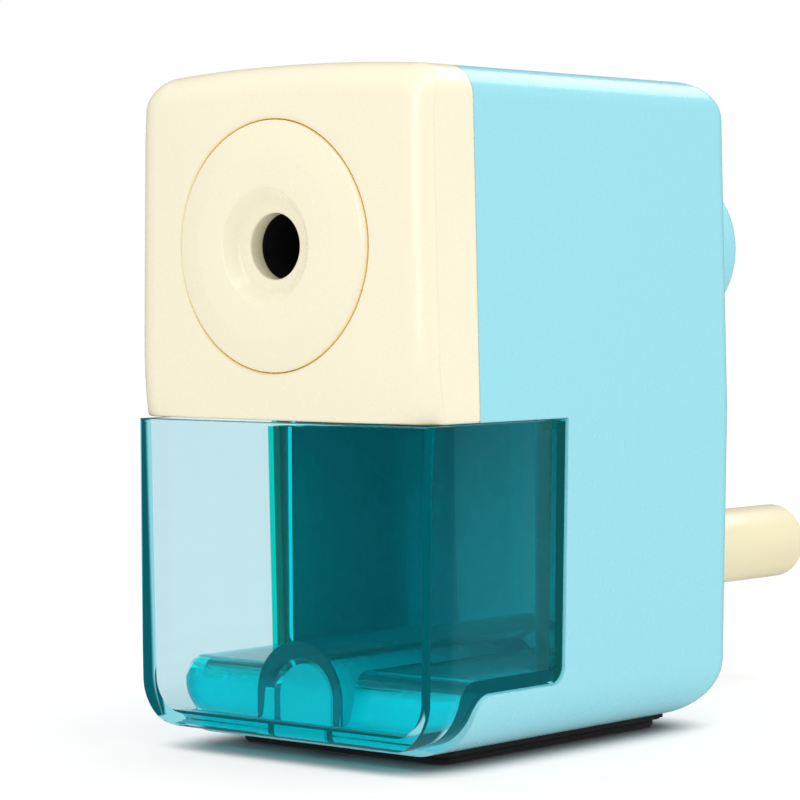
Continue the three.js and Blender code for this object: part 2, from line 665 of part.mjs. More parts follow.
function cutterRoller() {
  const pitch = (2 * Math.PI) / BLADES;
  const bladeDepth = 0.9;
  const outline = Array.from({ length: BLADES }, (_, i) => {
    const at = (r, k) => [r * Math.cos((i + k) * pitch), r * Math.sin((i + k) * pitch)];
    return [at(CUTTER_R, 0), at(CUTTER_R, 0.16), at(CUTTER_R - bladeDepth, 0.55)];
  }).flat();
  const g = extruded(outline, ROLLER_LENGTH, 10);
  const p = g.attributes.position;
  for (let i = 0; i < p.count; i++) {
    const a = (BLADE_TWIST * p.getZ(i)) / ROLLER_LENGTH;
    const x = p.getX(i);
    const y = p.getY(i);
    p.setXY(i, x * Math.cos(a) - y * Math.sin(a), x * Math.sin(a) + y * Math.cos(a));
  }
  g.translate(0, 0, ROLLER_END - ROLLER_LENGTH);
  return onCutterAxis(solid(g)).subtract(axleBar(AXLE_R + 0.15, -BEYOND, BEYOND));
}

// A plain round bar on the cutter's axis.
function axleBar(radius, from, to) {
  const g = new THREE.CylinderGeometry(radius, radius, to - from, 20).rotateX(Math.PI / 2);
  return onCutterAxis(solid(g.translate(0, 0, (from + to) / 2)));
}

// The frame that carries the cutter round the pencil: a front ring, a trough below, a plate at the tip and
// a hub that the shaft drives.
function carrier() {
  const lowerHalf = (rOut, rIn, y0, y1) =>
    turned([[rIn, y0], [rOut, y0], [rOut, y1], [rIn, y1]], 32).intersect(
      box(-20, 20, y0 - 1, y1 + 1, AXIS_Z - 20, AXIS_Z - 1.2),
    );
  const frontRing = barY(CARRIER_RING_R, CARRIER_FRONT_Y, CARRIER_FRONT_Y + 3.6, 0, AXIS_Z, 32);
  const trough = lowerHalf(CARRIER_TROUGH_R, CARRIER_TROUGH_R - 2.8, CARRIER_FRONT_Y, TIP_Y + 1);
  const backPlate = lowerHalf(CARRIER_TROUGH_R, 0.01, TIP_Y - 0.6, TIP_Y + 1.2);
  const spine = box(-4.4, 4.4, TIP_Y - 0.6, GEAR_Y + 4, AXIS_Z - 6.6, AXIS_Z - 1.6);
  const hub = barY(8.2, GEAR_Y + 3, GEAR_Y + 7.1, 0, AXIS_Z, 28);
  return union(frontRing, trough, backPlate, spine, hub)
    .subtract(barY(4.6, CARRIER_FRONT_Y - 1, TIP_Y - 1.5))
    .subtract(axleBar(AXLE_R + 0.1, AXLE_FRONT - 5, AXLE_BACK + 0.2))
    .subtract(barY(SHAFT_R - 0.9, GEAR_Y + 5.3, GEAR_Y + 10));
}

// ---- Shaft, crank and knob ----------------------------------------------------------------------------
function shaft() {
  const tipY = GEAR_Y + 5.5; // inside the carrier's hub
  const grooveY = CRANK_FRONT_Y - 0.9;
  const endY = CRANK_BACK_Y - 2.6;
  const flat = box(-5, 5, CRANK_FRONT_Y - 0.2, CRANK_BACK_Y, AXIS_Z + FLAT_HEIGHT, AXIS_Z + 5);
  const profile = [
    [0, tipY],
    [SHAFT_R - 1.1, tipY],
    [SHAFT_R - 1.1, tipY + 2],
    [SHAFT_R, tipY + 2],
    [SHAFT_R, grooveY],
    [SHAFT_R - 0.4, grooveY],
    [SHAFT_R - 0.4, grooveY + 0.7],
    [SHAFT_R, grooveY + 0.7],
    [SHAFT_R, endY],
    [1.5, endY], // the crank screw's hole
    [1.5, endY - 4.4],
    [0, endY - 4.4],
  ];
  return turned(profile, 24).subtract(flat);
}

function washer(rIn, rOut, y0, y1) {
  return turned([[rIn, y0], [rOut, y0], [rOut, y1], [rIn, y1]], 24);
}

function retainingClip() {
  return washer(SHAFT_R - 0.25, 5.2, CRANK_FRONT_Y - 0.8, CRANK_FRONT_Y - 0.3).subtract(
    box(-1.8, 1.8, 0, 80, AXIS_Z, AXIS_Z + 10),
  );
}

function crankArm() {
  const hub = turned([
    [0, CRANK_FRONT_Y],
    [HUB_R - 0.6, CRANK_FRONT_Y],
    [HUB_R, CRANK_FRONT_Y + 0.6],
    [HUB_R, CRANK_BACK_Y - 1.4],
    [HUB_R - 1.4, CRANK_BACK_Y],
    [0, CRANK_BACK_Y],
  ]);
  const endZ = AXIS_Z - CRANK_LENGTH;
  const bar = [[6.2, AXIS_Z], [-6.2, AXIS_Z], ...arc(0, endZ, CRANK_END_R, Math.PI, 2 * Math.PI, 16)];
  const arm = alongY(bar.reverse(), CRANK_FRONT_Y + 0.6, CRANK_BACK_Y - 0.3);
  const flat = box(-5, 5, 0, BEYOND, AXIS_Z + FLAT_HEIGHT + 0.15, AXIS_Z + 5);
  const socket = barY(SHAFT_R + 0.2, 0, CRANK_BACK_Y - 2.2, 0, AXIS_Z, 24).subtract(flat);
  const r = 3.5;
  const slot = alongY(
    roundedRect(-3.6, 3.6, endZ + 12, AXIS_Z - 18, [r, r, r, r]),
    CRANK_BACK_Y - 2.3,
    BEYOND,
  );
  return union(hub, arm)
    .subtract(socket)
    .subtract(barY(1.75, 0, BEYOND, 0, AXIS_Z, 16)) // the crank screw
    .subtract(barY(8, CRANK_BACK_Y - 2, BEYOND, 0, AXIS_Z, 28)) // the dish round its head
    .subtract(slot)
    .subtract(barY(PIN_R + 0.25, 0, BEYOND, 0, endZ, 16))
    .subtract(barY(3.3, 0, CRANK_FRONT_Y + 2, 0, endZ, 20)); // the pin's riveted head
}

// A cross-head screw that holds the crank on the shaft.
function crankScrew() {
  const headFront = CRANK_BACK_Y - 1.7;
  const shank = barY(SCREW_R, CRANK_BACK_Y - 6.5, headFront + 0.7, 0, AXIS_Z, 12);
  const head = barY(3.6, headFront, headFront + 1.3, 0, AXIS_Z, 20);
  const slot = (x, z) => box(-x, x, headFront + 0.5, BEYOND, AXIS_Z - z, AXIS_Z + z);
  return union(shank, head).subtract(slot(2, 0.35)).subtract(slot(0.35, 2));
}

// Turned on the shaft's axis, then lowered onto the knob's.
function knobTurned(profile, segments) {
  return turned(profile, segments).translate([0, 0, -CRANK_LENGTH]);
}

// The knob turns on this pin, which is riveted to the crank.
function knobPin() {
  const rivetY = CRANK_FRONT_Y + 0.8;
  const capY = KNOB_BACK_Y - 5.5;
  return knobTurned([
    [0, rivetY],
    [3, rivetY],
    [3, rivetY + 0.9],
    [PIN_R, rivetY + 0.9],
    [PIN_R, capY],
    [3.1, capY],
    [3.1, capY + 1.5],
    [0, capY + 1.5],
  ], 24);
}

function handleKnob() {
  const bore = PIN_R + 0.3;
  return knobTurned([
    [bore, KNOB_FRONT_Y],
    [KNOB_R - 1.2, KNOB_FRONT_Y],
    [KNOB_R - 0.1, KNOB_FRONT_Y + 1],
    [KNOB_R, KNOB_BACK_Y - 1.3],
    [KNOB_R - 0.4, KNOB_BACK_Y - 0.4],
    [KNOB_R - 1.3, KNOB_BACK_Y],
    [KNOB_RECESS_R, KNOB_BACK_Y],
    [KNOB_RECESS_R, KNOB_BACK_Y - KNOB_RECESS],
    [bore, KNOB_BACK_Y - KNOB_RECESS],
  ], 32);
}

// ---- Assembly -----------------------------------------------------------------------------------------
const material = (color, roughness, metalness = 0, extra = {}) =>
  new THREE.MeshStandardMaterial({ color, roughness, metalness, ...extra });
const BLUE = material("#9be2ef", 0.3);
const CREAM = material("#fdf0cf", 0.3);
const TEAL = material("#26a3ad", 0.08, 0, { transparent: true, opacity: 0.45 });
const RUBBER = material("#17181a", 0.85);
const DARK = material("#2a2c2e", 0.5);
const STEEL = material("#b9bcc0", 0.3, 1);
const ZINC = material("#9a9c9e", 0.5, 1);
const BRASS = material("#b08d4c", 0.4, 1);
const ACETAL = material("#ece8de", 0.45);

const sharpener = new THREE.Group();
function add(name, manifold, look) {
  const mesh = new THREE.Mesh(geometryOf(manifold), look);
  mesh.name = name;
  sharpener.add(mesh);
}

add("housing", housing(), BLUE);
add("front_cover", frontCover(), CREAM);
add("guide_disc", guideDisc(), CREAM);
add("guide_sleeve", guideSleeve(), DARK);
COVER_SCREWS.forEach(([x, z], i) => add(`cover_screw_${i + 1}`, coverScrew(x, z), STEEL));
add("base_plate", basePlate(), DARK);
BASE_SCREWS.forEach(([x, y], i) => add(`base_screw_${i + 1}`, baseScrew(x, y), STEEL));
add("foot_pad", footPad(), RUBBER);
add("drawer", drawer(), TEAL);
add("cutter_holder", cutterHolder(), CREAM);
add("ring_gear", ringGear(), ACETAL);
add("shaft_bush", washer(SHAFT_R + 0.2, 4.7, GEAR_Y + 8.1, CRANK_FRONT_Y - 1.7), BRASS);
add("cutter_carrier", carrier(), ZINC);
add("cutter_axle", axleBar(AXLE_R, AXLE_FRONT, AXLE_BACK), STEEL);
add("cutter_roller", cutterRoller(), STEEL);
add("cutter_pinion", cutterPinion(), STEEL);
add("thrust_washer", washer(SHAFT_R + 0.2, 7, GEAR_Y + 7.3, GEAR_Y + 7.8), ACETAL);
add("shaft", shaft(), STEEL);
add("retaining_clip", retainingClip(), STEEL);
add("crank_arm", crankArm(), BLUE);
add("crank_screw", crankScrew(), STEEL);
add("knob_pin", knobPin(), STEEL);
add("handle_knob", handleKnob(), CREAM);

export default sharpener;
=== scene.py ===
import json
import math

import bmesh
import bpy
from mathutils import Matrix, Vector


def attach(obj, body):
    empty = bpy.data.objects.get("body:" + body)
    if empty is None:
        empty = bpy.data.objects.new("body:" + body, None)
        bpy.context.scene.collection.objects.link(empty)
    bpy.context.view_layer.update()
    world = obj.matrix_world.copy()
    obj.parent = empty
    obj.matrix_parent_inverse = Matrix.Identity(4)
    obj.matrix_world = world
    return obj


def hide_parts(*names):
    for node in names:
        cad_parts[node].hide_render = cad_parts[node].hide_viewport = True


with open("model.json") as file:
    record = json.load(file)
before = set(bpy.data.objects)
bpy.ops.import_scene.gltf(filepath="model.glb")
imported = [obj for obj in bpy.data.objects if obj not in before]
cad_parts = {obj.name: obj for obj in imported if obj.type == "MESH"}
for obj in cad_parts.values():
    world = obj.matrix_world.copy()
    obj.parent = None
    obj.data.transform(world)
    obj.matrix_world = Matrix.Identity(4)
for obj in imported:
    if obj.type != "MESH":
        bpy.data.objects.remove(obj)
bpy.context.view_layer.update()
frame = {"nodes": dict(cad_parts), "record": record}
MM = 0.001  # shapes are written in millimetres, in the CAD's own frame

# ---- Dimensions, the CAD's own --------------------------------------------------------------------------
HALF_WIDTH, TOP_HALF_WIDTH, BOTTOM_HALF_WIDTH = 29.3, 28.3, 28.4
FRONT_Y, BACK_Y = -39.0, 35.0
HOUSING_BOTTOM, LIP_TOP, DRAWER_BOTTOM = 2.1, 3.1, 3.4
SEAM_Z, TOP_Z, CROWN = 49.8, 100.5, 0.8
TOP_RADIUS, BOTTOM_RADIUS, WALL = 4.8, 8.0, 2.4
AXIS_Z = 75.0
COVER_BACK_Y, FACE_Y = -28.4, -40.2
DISC_R, LEDGE_R, LEDGE_Y = 18.3, 16.6, -38.5
HOLE_R = 4.8
FLOOR_Z = 10.8
DRAWER_SIDE_BACK_Y, DRAWER_BACK_Y = -8.4, 20.0
DRAWER_HALF_WIDTH, TRAY_HALF_WIDTH = 29.0, 25.6
DRAWER_WALL, TRAY_WALL = 1.9, 1.9
RAIL_R, RAIL_TOP_Z, RAIL_FRONT_Y, RAIL_BACK_Y = 5.0, 14.0, -31.7, 12.0
CRANK_FRONT_Y, CRANK_BACK_Y, CRANK_LENGTH = 52.7, 58.3, 50.8
KNOB_R, KNOB_FRONT_Y, KNOB_BACK_Y = 6.3, 59.0, 89.0
BACK_SIDE_R, BACK_TOP_R = 4.0, 8.5
BACK_LOW_RUN, BACK_LOW_RISE = 10.0, 7.5  # how far the back's lower edge is rounded, along Y and up
LIP_FRONT_Y = -32.2
BASE_SCREWS = ((-17, -19), (17, -19), (-17, 17), (17, 17))
GAP = 0.3
SEAM_GAP = 0.04  # the hairline between the cover and the housing
WIDE, FAR = 40, 60  # past the casing's sides, and past its ends


# ---- Mesh tools -----------------------------------------------------------------------------------------
def smoothstep(t):
    return t * t * (3 - 2 * t)


def arc(cu, cv, r, a0, a1, n):
    """Points on an arc in degrees, ends included."""
    turns = [math.radians(a0 + (a1 - a0) * i / n) for i in range(n + 1)]
    return [(cu + r * math.cos(a), cv + r * math.sin(a)) for a in turns]


SHARP = 32  # degrees: edges that turn by more stay sharp


def link_object(name, data):
    obj = bpy.data.objects.new(name, data)
    bpy.context.scene.collection.objects.link(obj)
    return obj


def new_object(name, bm, sharp=SHARP):
    """A linked object from a bmesh in millimetres, smooth up to the given edge angle."""
    bmesh.ops.remove_doubles(bm, verts=bm.verts, dist=1e-4)
    bmesh.ops.recalc_face_normals(bm, faces=bm.faces)
    mesh = bpy.data.meshes.new(name)
    bm.to_mesh(mesh)
    bm.free()
    mesh.transform(Matrix.Scale(MM, 4))
    obj = link_object(name, mesh)
    soften(obj, sharp)
    return obj


def soften(obj, sharp=SHARP):
    obj.data.shade_smooth()
    obj.data.set_sharp_from_angle(angle=math.radians(sharp))


def strip(bm, rings, closed=False):
    """Joins rings of equally many points with quads. A closed strip joins the last ring to the first."""
    rows = [[bm.verts.new(p) for p in ring] for ring in rings]
    count = len(rows[0])
    for k in range(len(rows) if closed else len(rows) - 1):
        a, b = rows[k], rows[(k + 1) % len(rows)]
        for i in range(count):
            j = (i + 1) % count
            bm.faces.new((a[i], a[j], b[j], b[i]))
    return rows


def loft(name, rings, closed=False, sharp=SHARP):
    bm = bmesh.new()
    rows = strip(bm, rings, closed)
    if not closed:
        bm.faces.new(rows[0])
        bm.faces.new(rows[-1])
    return new_object(name, bm, sharp)


def extrude(name, outline, lo, hi, axis):
    """A closed outline run from lo to hi along an axis. Outlines are (y, z), (x, z) or (x, y)."""
    place = {
        "x": lambda u, v, w: (w, u, v),
        "y": lambda u, v, w: (u, w, v),
        "z": lambda u, v, w: (u, v, w),
    }[axis]
    return loft(name, [[place(u, v, w) for u, v in outline] for w in (lo, hi)])


def block(x0, x1, y0, y1, z0, z1):
    return extrude("block", [(x0, y0), (x1, y0), (x1, y1), (x0, y1)], z0, z1, "z")


def rounded(profile, steps=5):
    """Turns corners (u, v, radius) of an open or closed outline into arcs. Plain corners have no radius."""
    out = []
    n = len(profile)
    for i, corner in enumerate(profile):
        r = corner[2] if len(corner) > 2 else 0
        p = Vector(corner[:2])
        if not r:
            out.append(tuple(p))
            continue
        a = (Vector(profile[i - 1][:2]) - p)
        b = (Vector(profile[(i + 1) % n][:2]) - p)
        half = a.angle(b) / 2
        back = min(r / math.tan(half), a.length * 0.49, b.length * 0.49)
        r = back * math.tan(half)
        centre = p + (a.normalized() + b.normalized()).normalized() * (r / math.sin(half))
        start, end = p + a.normalized() * back - centre, p + b.normalized() * back - centre
        first = math.atan2(start.y, start.x)
        turn = (math.atan2(end.y, end.x) - first + math.pi) % (2 * math.pi) - math.pi
        for k in range(steps + 1):
            angle = first + turn * k / steps
            out.append((centre.x + r * math.cos(angle), centre.y + r * math.sin(angle)))
    return out


def lathe(name, profile, z=AXIS_Z, segments=128):
    """Turns (radius, y) corners about an axis along Y at height z."""
    bm = bmesh.new()
    points = rounded(profile)
    if profile[0][0] > 0:
        points = points + [points[0]]
    angles = [2 * math.pi * i / segments for i in range(segments)]
    rows = []
    for r, y in points:
        if r < 1e-6:
            rows.append([bm.verts.new((0, y, z))])
        else:
            rows.append([bm.verts.new((r * math.sin(a), y, z + r * math.cos(a))) for a in angles])
    for a, b in zip(rows, rows[1:]):
        for i in range(segments):
            j = (i + 1) % segments
            if len(a) == 1 and len(b) > 1:
                bm.faces.new((a[0], b[j], b[i]))
            elif len(b) == 1 and len(a) > 1:
                bm.faces.new((a[i], a[j], b[0]))
            elif len(a) > 1:
                bm.faces.new((a[i], a[j], b[j], b[i]))
    return new_object(name, bm)


def circle(x, y, r, segments=96):
    return [(x + u, y + v) for u, v in arc(0, 0, r, 0, 360 - 360 / segments, segments - 1)]


def cylinder(r, y0, y1, x=0.0, z=AXIS_Z):
    return extrude("cylinder", circle(x, z, r), y0, y1, "y")


def apply_modifiers(obj):
    deps = bpy.context.evaluated_depsgraph_get()
    made = bpy.data.meshes.new_from_object(obj.evaluated_get(deps))
    obj.modifiers.clear()
    obj.data = made
    return obj


def combine(obj, other, operation):
    """Boolean of two objects, applied. The other object is used up."""
    mod = obj.modifiers.new("boolean", "BOOLEAN")
    mod.operation, mod.solver, mod.object = operation, "EXACT", other
    apply_modifiers(obj)
    bpy.data.objects.remove(other)
    return obj


def cut(obj, *others):
    for other in others:
        combine(obj, other, "DIFFERENCE")
    return obj


def add(obj, *others):
    for other in others:
        combine(obj, other, "UNION")
    return obj


def common(obj, *others):
    for other in others:
        combine(obj, other, "INTERSECT")
    return obj


def finish_solid(obj, name):
    """After booleans: clean, smooth, and weight normals by area so that flat faces stay flat."""
    same_point = 2e-7
    obj.name = obj.data.name = name
    bm = bmesh.new()
    bm.from_mesh(obj.data)
    bmesh.ops.remove_doubles(bm, verts=bm.verts, dist=same_point)
    bmesh.ops.dissolve_degenerate(bm, dist=same_point, edges=bm.edges)
    bm.to_mesh(obj.data)
    bm.free()
    soften(obj)
    normals = obj.modifiers.new("normals", "WEIGHTED_NORMAL")
    normals.keep_sharp = True
    normals.weight = 100
    return obj


CORNER_STEPS, FLAT_STEPS, LEAN_STEPS, SIDE_STEPS = 14, 14, 5, 20
SEAM_CORNER_STEPS = 3  # for the cover's small lower corners


def section(low, wide, high, bottom, top, rb, rt, crown=CROWN, low_steps=CORNER_STEPS):
    """A casing section in (x, z), anticlockwise from the bottom's middle, with each point's share of
    side, top and bottom. The sides lean in above and below the seam."""
    half = [((low - rb) * i / FLAT_STEPS, bottom, 0, 0, 1) for i in range(FLAT_STEPS)]
    for i, (x, z) in enumerate(arc(low - rb, bottom + rb, rb, -90, 0, low_steps)):
        s = smoothstep(i / low_steps)
        half.append((x, z, s, 0, 1 - s))
    z0, z1 = bottom + rb, top - rt
    if z0 < SEAM_Z:
        for i in range(1, LEAN_STEPS + 1):
            half.append((low + (wide - low) * i / LEAN_STEPS, z0 + (SEAM_Z - z0) * i / LEAN_STEPS, 1, 0, 0))
        low, z0 = wide, SEAM_Z
    for i in range(1, SIDE_STEPS):
        half.append((low + (high - low) * i / SIDE_STEPS, z0 + (z1 - z0) * i / SIDE_STEPS, 1, 0, 0))
    for i, (x, z) in enumerate(arc(high - rt, z1, rt, 0, 90, CORNER_STEPS)):
        s = smoothstep(i / CORNER_STEPS)
        half.append((x, z, 1 - s, s, 0))
    for i in range(1, FLAT_STEPS + 1):
        x = (high - rt) * (1 - i / FLAT_STEPS)
        half.append((x, top + crown * (1 - (x / (high - rt)) ** 2), 0, 1, 0))
    left = [(-x, z, s, t, b) for x, z, s, t, b in half[1:-1]]
    return half + left[::-1]


def casing_outline(inset, bottom):
    """The casing's outline in (x, z), moved in by an inset, with its own bottom."""
    low, wide, high = (w - inset for w in (BOTTOM_HALF_WIDTH, HALF_WIDTH, TOP_HALF_WIDTH))
    low_r, top_r = 0.4, max(TOP_RADIUS - inset, 1.5)
    points = section(low, wide, high, bottom, TOP_Z - inset, low_r, top_r)
    return [(x, z) for x, z, *_ in points]


STEP_ANGLE = 76.0
STEP_START_Y, STEP_LOW_R, STEP_HIGH_R = -31.2, 1.8, 3.8


def step(dy, dz, n=10):
    """The S-shaped step between the lip and the floor, shared by the sill and the drawer's underside."""
    turn = math.radians(STEP_ANGLE)
    rise = (FLOOR_Z - LIP_TOP - (STEP_LOW_R + STEP_HIGH_R) * (1 - math.cos(turn))) / math.sin(turn)
    low = arc(STEP_START_Y + dy, LIP_TOP + STEP_LOW_R + dz, STEP_LOW_R, -90, -90 + STEP_ANGLE, n)
    y = low[-1][0] + rise * math.cos(turn) + STEP_HIGH_R * math.sin(turn)
    return low + arc(y, FLOOR_Z - STEP_HIGH_R + dz, STEP_HIGH_R, 90 + STEP_ANGLE, 90, n)


def arch(radius, top, bottom, n=28):
    """The rail's and the tunnel's outline in (x, z): straight sides under a half round."""
    return [(-radius, bottom), (radius, bottom)] + arc(0, top - radius, radius, 0, 180, n)


# ---- Casing ---------------------------------------------------------------------------------------------
def casing_block():
    """The casing's solid block. Each edge round its back is rounded by its own amount."""
    low, wide, high = BOTTOM_HALF_WIDTH, HALF_WIDTH, TOP_HALF_WIDTH
    straight = section(low, wide, high, HOUSING_BOTTOM, TOP_Z, BOTTOM_RADIUS, TOP_RADIUS)
    rings = [[(x, y, z) for x, z, *_ in straight] for y in (-50, 10)]
    turns = 16
    for k in range(turns + 1):
        a = math.pi / 2 * k / turns
        off, run = 1 - math.cos(a), 1 - math.sin(a)
        s = BACK_SIDE_R * off
        ring = section(
            low - s, wide - s, high - s,
            HOUSING_BOTTOM + BACK_LOW_RISE * off, TOP_Z - BACK_TOP_R * off,
            BOTTOM_RADIUS - 3 * off, TOP_RADIUS - 2 * off, CROWN * (1 - off),
        )
        rings.append([
            (x, BACK_Y - run * (ws * BACK_SIDE_R + wt * BACK_TOP_R + wb * BACK_LOW_RUN), z)
            for x, z, ws, wt, wb in ring
        ])
    return loft("housing_shell", rings)


def housing_side():
    """The housing's side view: the sill, the edge behind the drawer, and the seam with the cover."""
    seam_y, cheek_r = COVER_BACK_Y + SEAM_GAP / 2, 2.5
    above, behind, below = TOP_Z + 4, BACK_Y + 2, HOUSING_BOTTOM - 1  # clear of the block
    side = [(LIP_FRONT_Y, below), (LIP_FRONT_Y, LIP_TOP)] + step(0, 0)
    side += arc(DRAWER_SIDE_BACK_Y + GAP - cheek_r, FLOOR_Z + cheek_r, cheek_r, -90, 0, 10)
    side += [(DRAWER_SIDE_BACK_Y + GAP, SEAM_Z), (seam_y, SEAM_Z), (seam_y, above)]
    return side + [(behind, above), (behind, below)]


def make_chamber():
    """The casing's hollow. Its top corner is rounded, so that the wall stays thick round the back edge."""
    corner = arc(BACK_Y - BACK_TOP_R, TOP_Z - BACK_TOP_R, BACK_TOP_R - WALL, 0, 90, 16)
    side = [(-FAR, 0), (BACK_Y - WALL, 0)] + corner + [(-FAR, TOP_Z - WALL)]
    chamber = extrude("chamber", casing_outline(WALL, FLOOR_Z), -FAR, BACK_Y, "y")
    return common(chamber, extrude("chamber_side", side, -WIDE, WIDE, "x"))


def make_bulkhead():
    """The wall behind the cover that holds the guide sleeve."""
    bulkhead = block(-27, 27, -27.6, -25.6, 52, 99)
    common(bulkhead, extrude("in", casing_outline(WALL - 0.5, 0), -FAR, FAR, "y"))
    return cut(bulkhead, cylinder(8.3, -30, -20))


def make_housing():
    shell = common(casing_block(), extrude("side", housing_side(), -WIDE, WIDE, "x"))
    cut(shell, make_chamber())
    # The hollow under the floor slants at the front, as the sill above it does.
    low_top, low_back_y, low_half_width = FLOOR_Z - 2.2, BACK_Y - 6, 21.5
    low = [(-27.2, 0), (low_back_y, 0), (low_back_y, low_top), (-24.6, low_top)]
    cut(shell, extrude("low", low, -low_half_width, low_half_width, "x"))
    bulkhead = make_bulkhead()
    rail = cut(
        extrude("rail", arch(RAIL_R, RAIL_TOP_Z, HOUSING_BOTTOM + 0.5), RAIL_FRONT_Y, RAIL_BACK_Y, "y"),
        block(-6, 6, -26.5, 40, 0, 4.7),
    )
    add(shell, bulkhead, rail)
    wall = 2  # the rail's
    hollow = arch(RAIL_R - wall, RAIL_TOP_Z - wall, 0)
    cut(shell, extrude("hollow", hollow, RAIL_FRONT_Y + wall, RAIL_BACK_Y - wall, "y"))
    cut(shell, cylinder(15.8, BACK_Y - 5, BACK_Y + 5))
    return finish_solid(shell, "housing_shell")


def face_y(x, z):
    """The front cover's gently crowned face."""
    return FACE_Y + 0.0043 * max(0, abs(x) - 10) ** 2 + 0.008 * max(0, abs(z - AXIS_Z) - 14) ** 2


def cover_stations():
    """Sections from the cover's sides round to its face, each with its set-back at the sides and the top."""
    edge_r, low_r, top_r, inset = 8.57, 0.5, 5.0, 4.8
    crease, flat = math.radians(43), math.radians(7)  # the side edge's arc starts in a crease
    turns = 16
    stations = []
    for k in range(turns + 1):
        t = k / turns
        a, b = crease + (flat - crease) * t, math.pi / 2 * t
        side_in = inset - edge_r * (math.sin(a) - math.sin(flat))
        side_back = edge_r * (math.cos(flat) - math.cos(a))
        low_in = low_r * (1 - math.sqrt(1 - max(0, 1 - side_back / low_r) ** 2))
        turned = 1 - math.cos(b)
        ring = section(
            HALF_WIDTH - side_in, HALF_WIDTH - side_in, TOP_HALF_WIDTH - side_in,
            SEAM_Z + low_in, TOP_Z - top_r * turned,
            0.5, TOP_RADIUS - 3.4 * turned, CROWN * (1 - 0.5 * t), low_steps=SEAM_CORNER_STEPS,
        )
        stations.append((ring, side_back, top_r * (1 - math.sin(b))))
    return stations


def make_cover():
    """One closed band of rings: out from the back rim, round the front, in through the disc's seat and back
    along the inside."""
    stations = cover_stations()
    first, last = stations[0][0], stations[-1][0]
    back_y = COVER_BACK_Y - SEAM_GAP / 2
    rings = [[(x, y, z) for x, z, *_ in first] for y in (back_y, -33.0)]
    for ring, side_back, top_back in stations:
        rings.append([
            (x, face_y(ex, ez) + (ws + wb) * side_back + wt * top_back, z)
            for (x, z, ws, wt, wb), (ex, ez, *_) in zip(ring, last)
        ])

    def ring_of(r, y=None, dy=0.0):
        """A round ring with the section's own points, at a depth y or set back from the face."""
        out = []
        for x, z, *_ in last:
            d = Vector((x, z - AXIS_Z)).normalized()
            px, pz = d.x * r, AXIS_Z + d.y * r
            out.append((px, face_y(px, pz) + dy if y is None else y, pz))
        return out

    lip = 0.6  # the rounded edge of the disc's seat
    seat, face_steps = ring_of(DISC_R + lip), 12
    for t in (k / face_steps for k in range(1, face_steps)):
        points = [(x + (cx - x) * t, z + (cz - z) * t) for (x, z, *_), (cx, _, cz) in zip(last, seat)]
        rings.append([(x, face_y(x, z), z) for x, z in points])
    for a in (math.radians(18 * k) for k in range(6)):
        rings.append(ring_of(DISC_R + lip * (1 - math.sin(a)), dy=lip * (1 - math.cos(a))))
    inner_face_y = FACE_Y + 3.6
    rings += [ring_of(DISC_R, LEDGE_Y), ring_of(LEDGE_R, LEDGE_Y), ring_of(LEDGE_R, inner_face_y)]
    half, high, low_z = HALF_WIDTH - 7.2, TOP_HALF_WIDTH - 7.2, SEAM_Z + 2.2
    inside = section(half, half, high, low_z, TOP_Z - 4.6, 0.5, 2.0, 0.3, low_steps=SEAM_CORNER_STEPS)
    rings.append([(x, inner_face_y, z) for x, z, *_ in inside])
    half, high = HALF_WIDTH - WALL, TOP_HALF_WIDTH - WALL
    inside = section(half, half, high, low_z, TOP_Z - WALL, 0.5, 2.4, low_steps=SEAM_CORNER_STEPS)
    rings += [[(x, y, z) for x, z, *_ in inside] for y in (FACE_Y + 6.6, back_y)]
    return loft("front_cover_shell", rings, closed=True, sharp=30)


# ---- Drawer ---------------------------------------------------------------------------------------------
def drawer_outline(inset, bottom, top):
    """The drawer's outline in (x, z), with rounded lower corners."""
    rb = BOTTOM_RADIUS - 0.5 - inset
    low, high = BOTTOM_HALF_WIDTH - GAP - inset, DRAWER_HALF_WIDTH - inset
    right = arc(low - rb, bottom + rb, rb, -90, 0, 18)
    return [(-x, z) for x, z in right[::-1]] + right + [(high, top), (-high, top)]


def drawer_inside(wall):
    """The hollow of the drawer's wide front part."""
    tall, back_y = 60, DRAWER_SIDE_BACK_Y - wall
    side = [(FRONT_Y + wall, DRAWER_BOTTOM + wall, 1.0)] + step(-GAP - wall, DRAWER_BOTTOM - LIP_TOP + wall)
    side += [(back_y, FLOOR_Z + GAP + wall), (back_y, tall), (FRONT_Y + wall, tall)]
    return common(
        extrude("inside", rounded(side), -WIDE, WIDE, "x"),
        extrude("across", drawer_outline(wall, DRAWER_BOTTOM + wall, tall), -FAR, FAR, "y"),
    )


def drawer_side():
    """The drawer's side view without the tray, from the foot's corner along the underside and round."""
    foot_r, heel_r, top = 1.6, 2.4, SEAM_Z - GAP
    side = [(FRONT_Y + foot_r, DRAWER_BOTTOM)] + step(-GAP, DRAWER_BOTTOM - LIP_TOP)
    side += arc(DRAWER_SIDE_BACK_Y - heel_r, FLOOR_Z + GAP + heel_r, heel_r, -90, 0, 10)
    side += [(DRAWER_SIDE_BACK_Y, top, 0.5), (FRONT_Y, top, 0.5)]
    side += arc(FRONT_Y + foot_r, DRAWER_BOTTOM + foot_r, foot_r, 180, 270, 8)[:-1]
    return rounded(side)


def drawer_plan():
    """The drawer's plan, rounded at the front corners and wider than the drawer behind them."""
    w, corner_r = DRAWER_HALF_WIDTH, 1.4
    plan = [(w + 1, FAR), (-w - 1, FAR), (-w - 1, FRONT_Y + 2.2)]
    plan += arc(-w + corner_r, FRONT_Y + corner_r, corner_r, 180, 270, 10)
    plan += arc(w - corner_r, FRONT_Y + corner_r, corner_r, 270, 360, 10)
    return plan + [(w + 1, FRONT_Y + 2.2)]


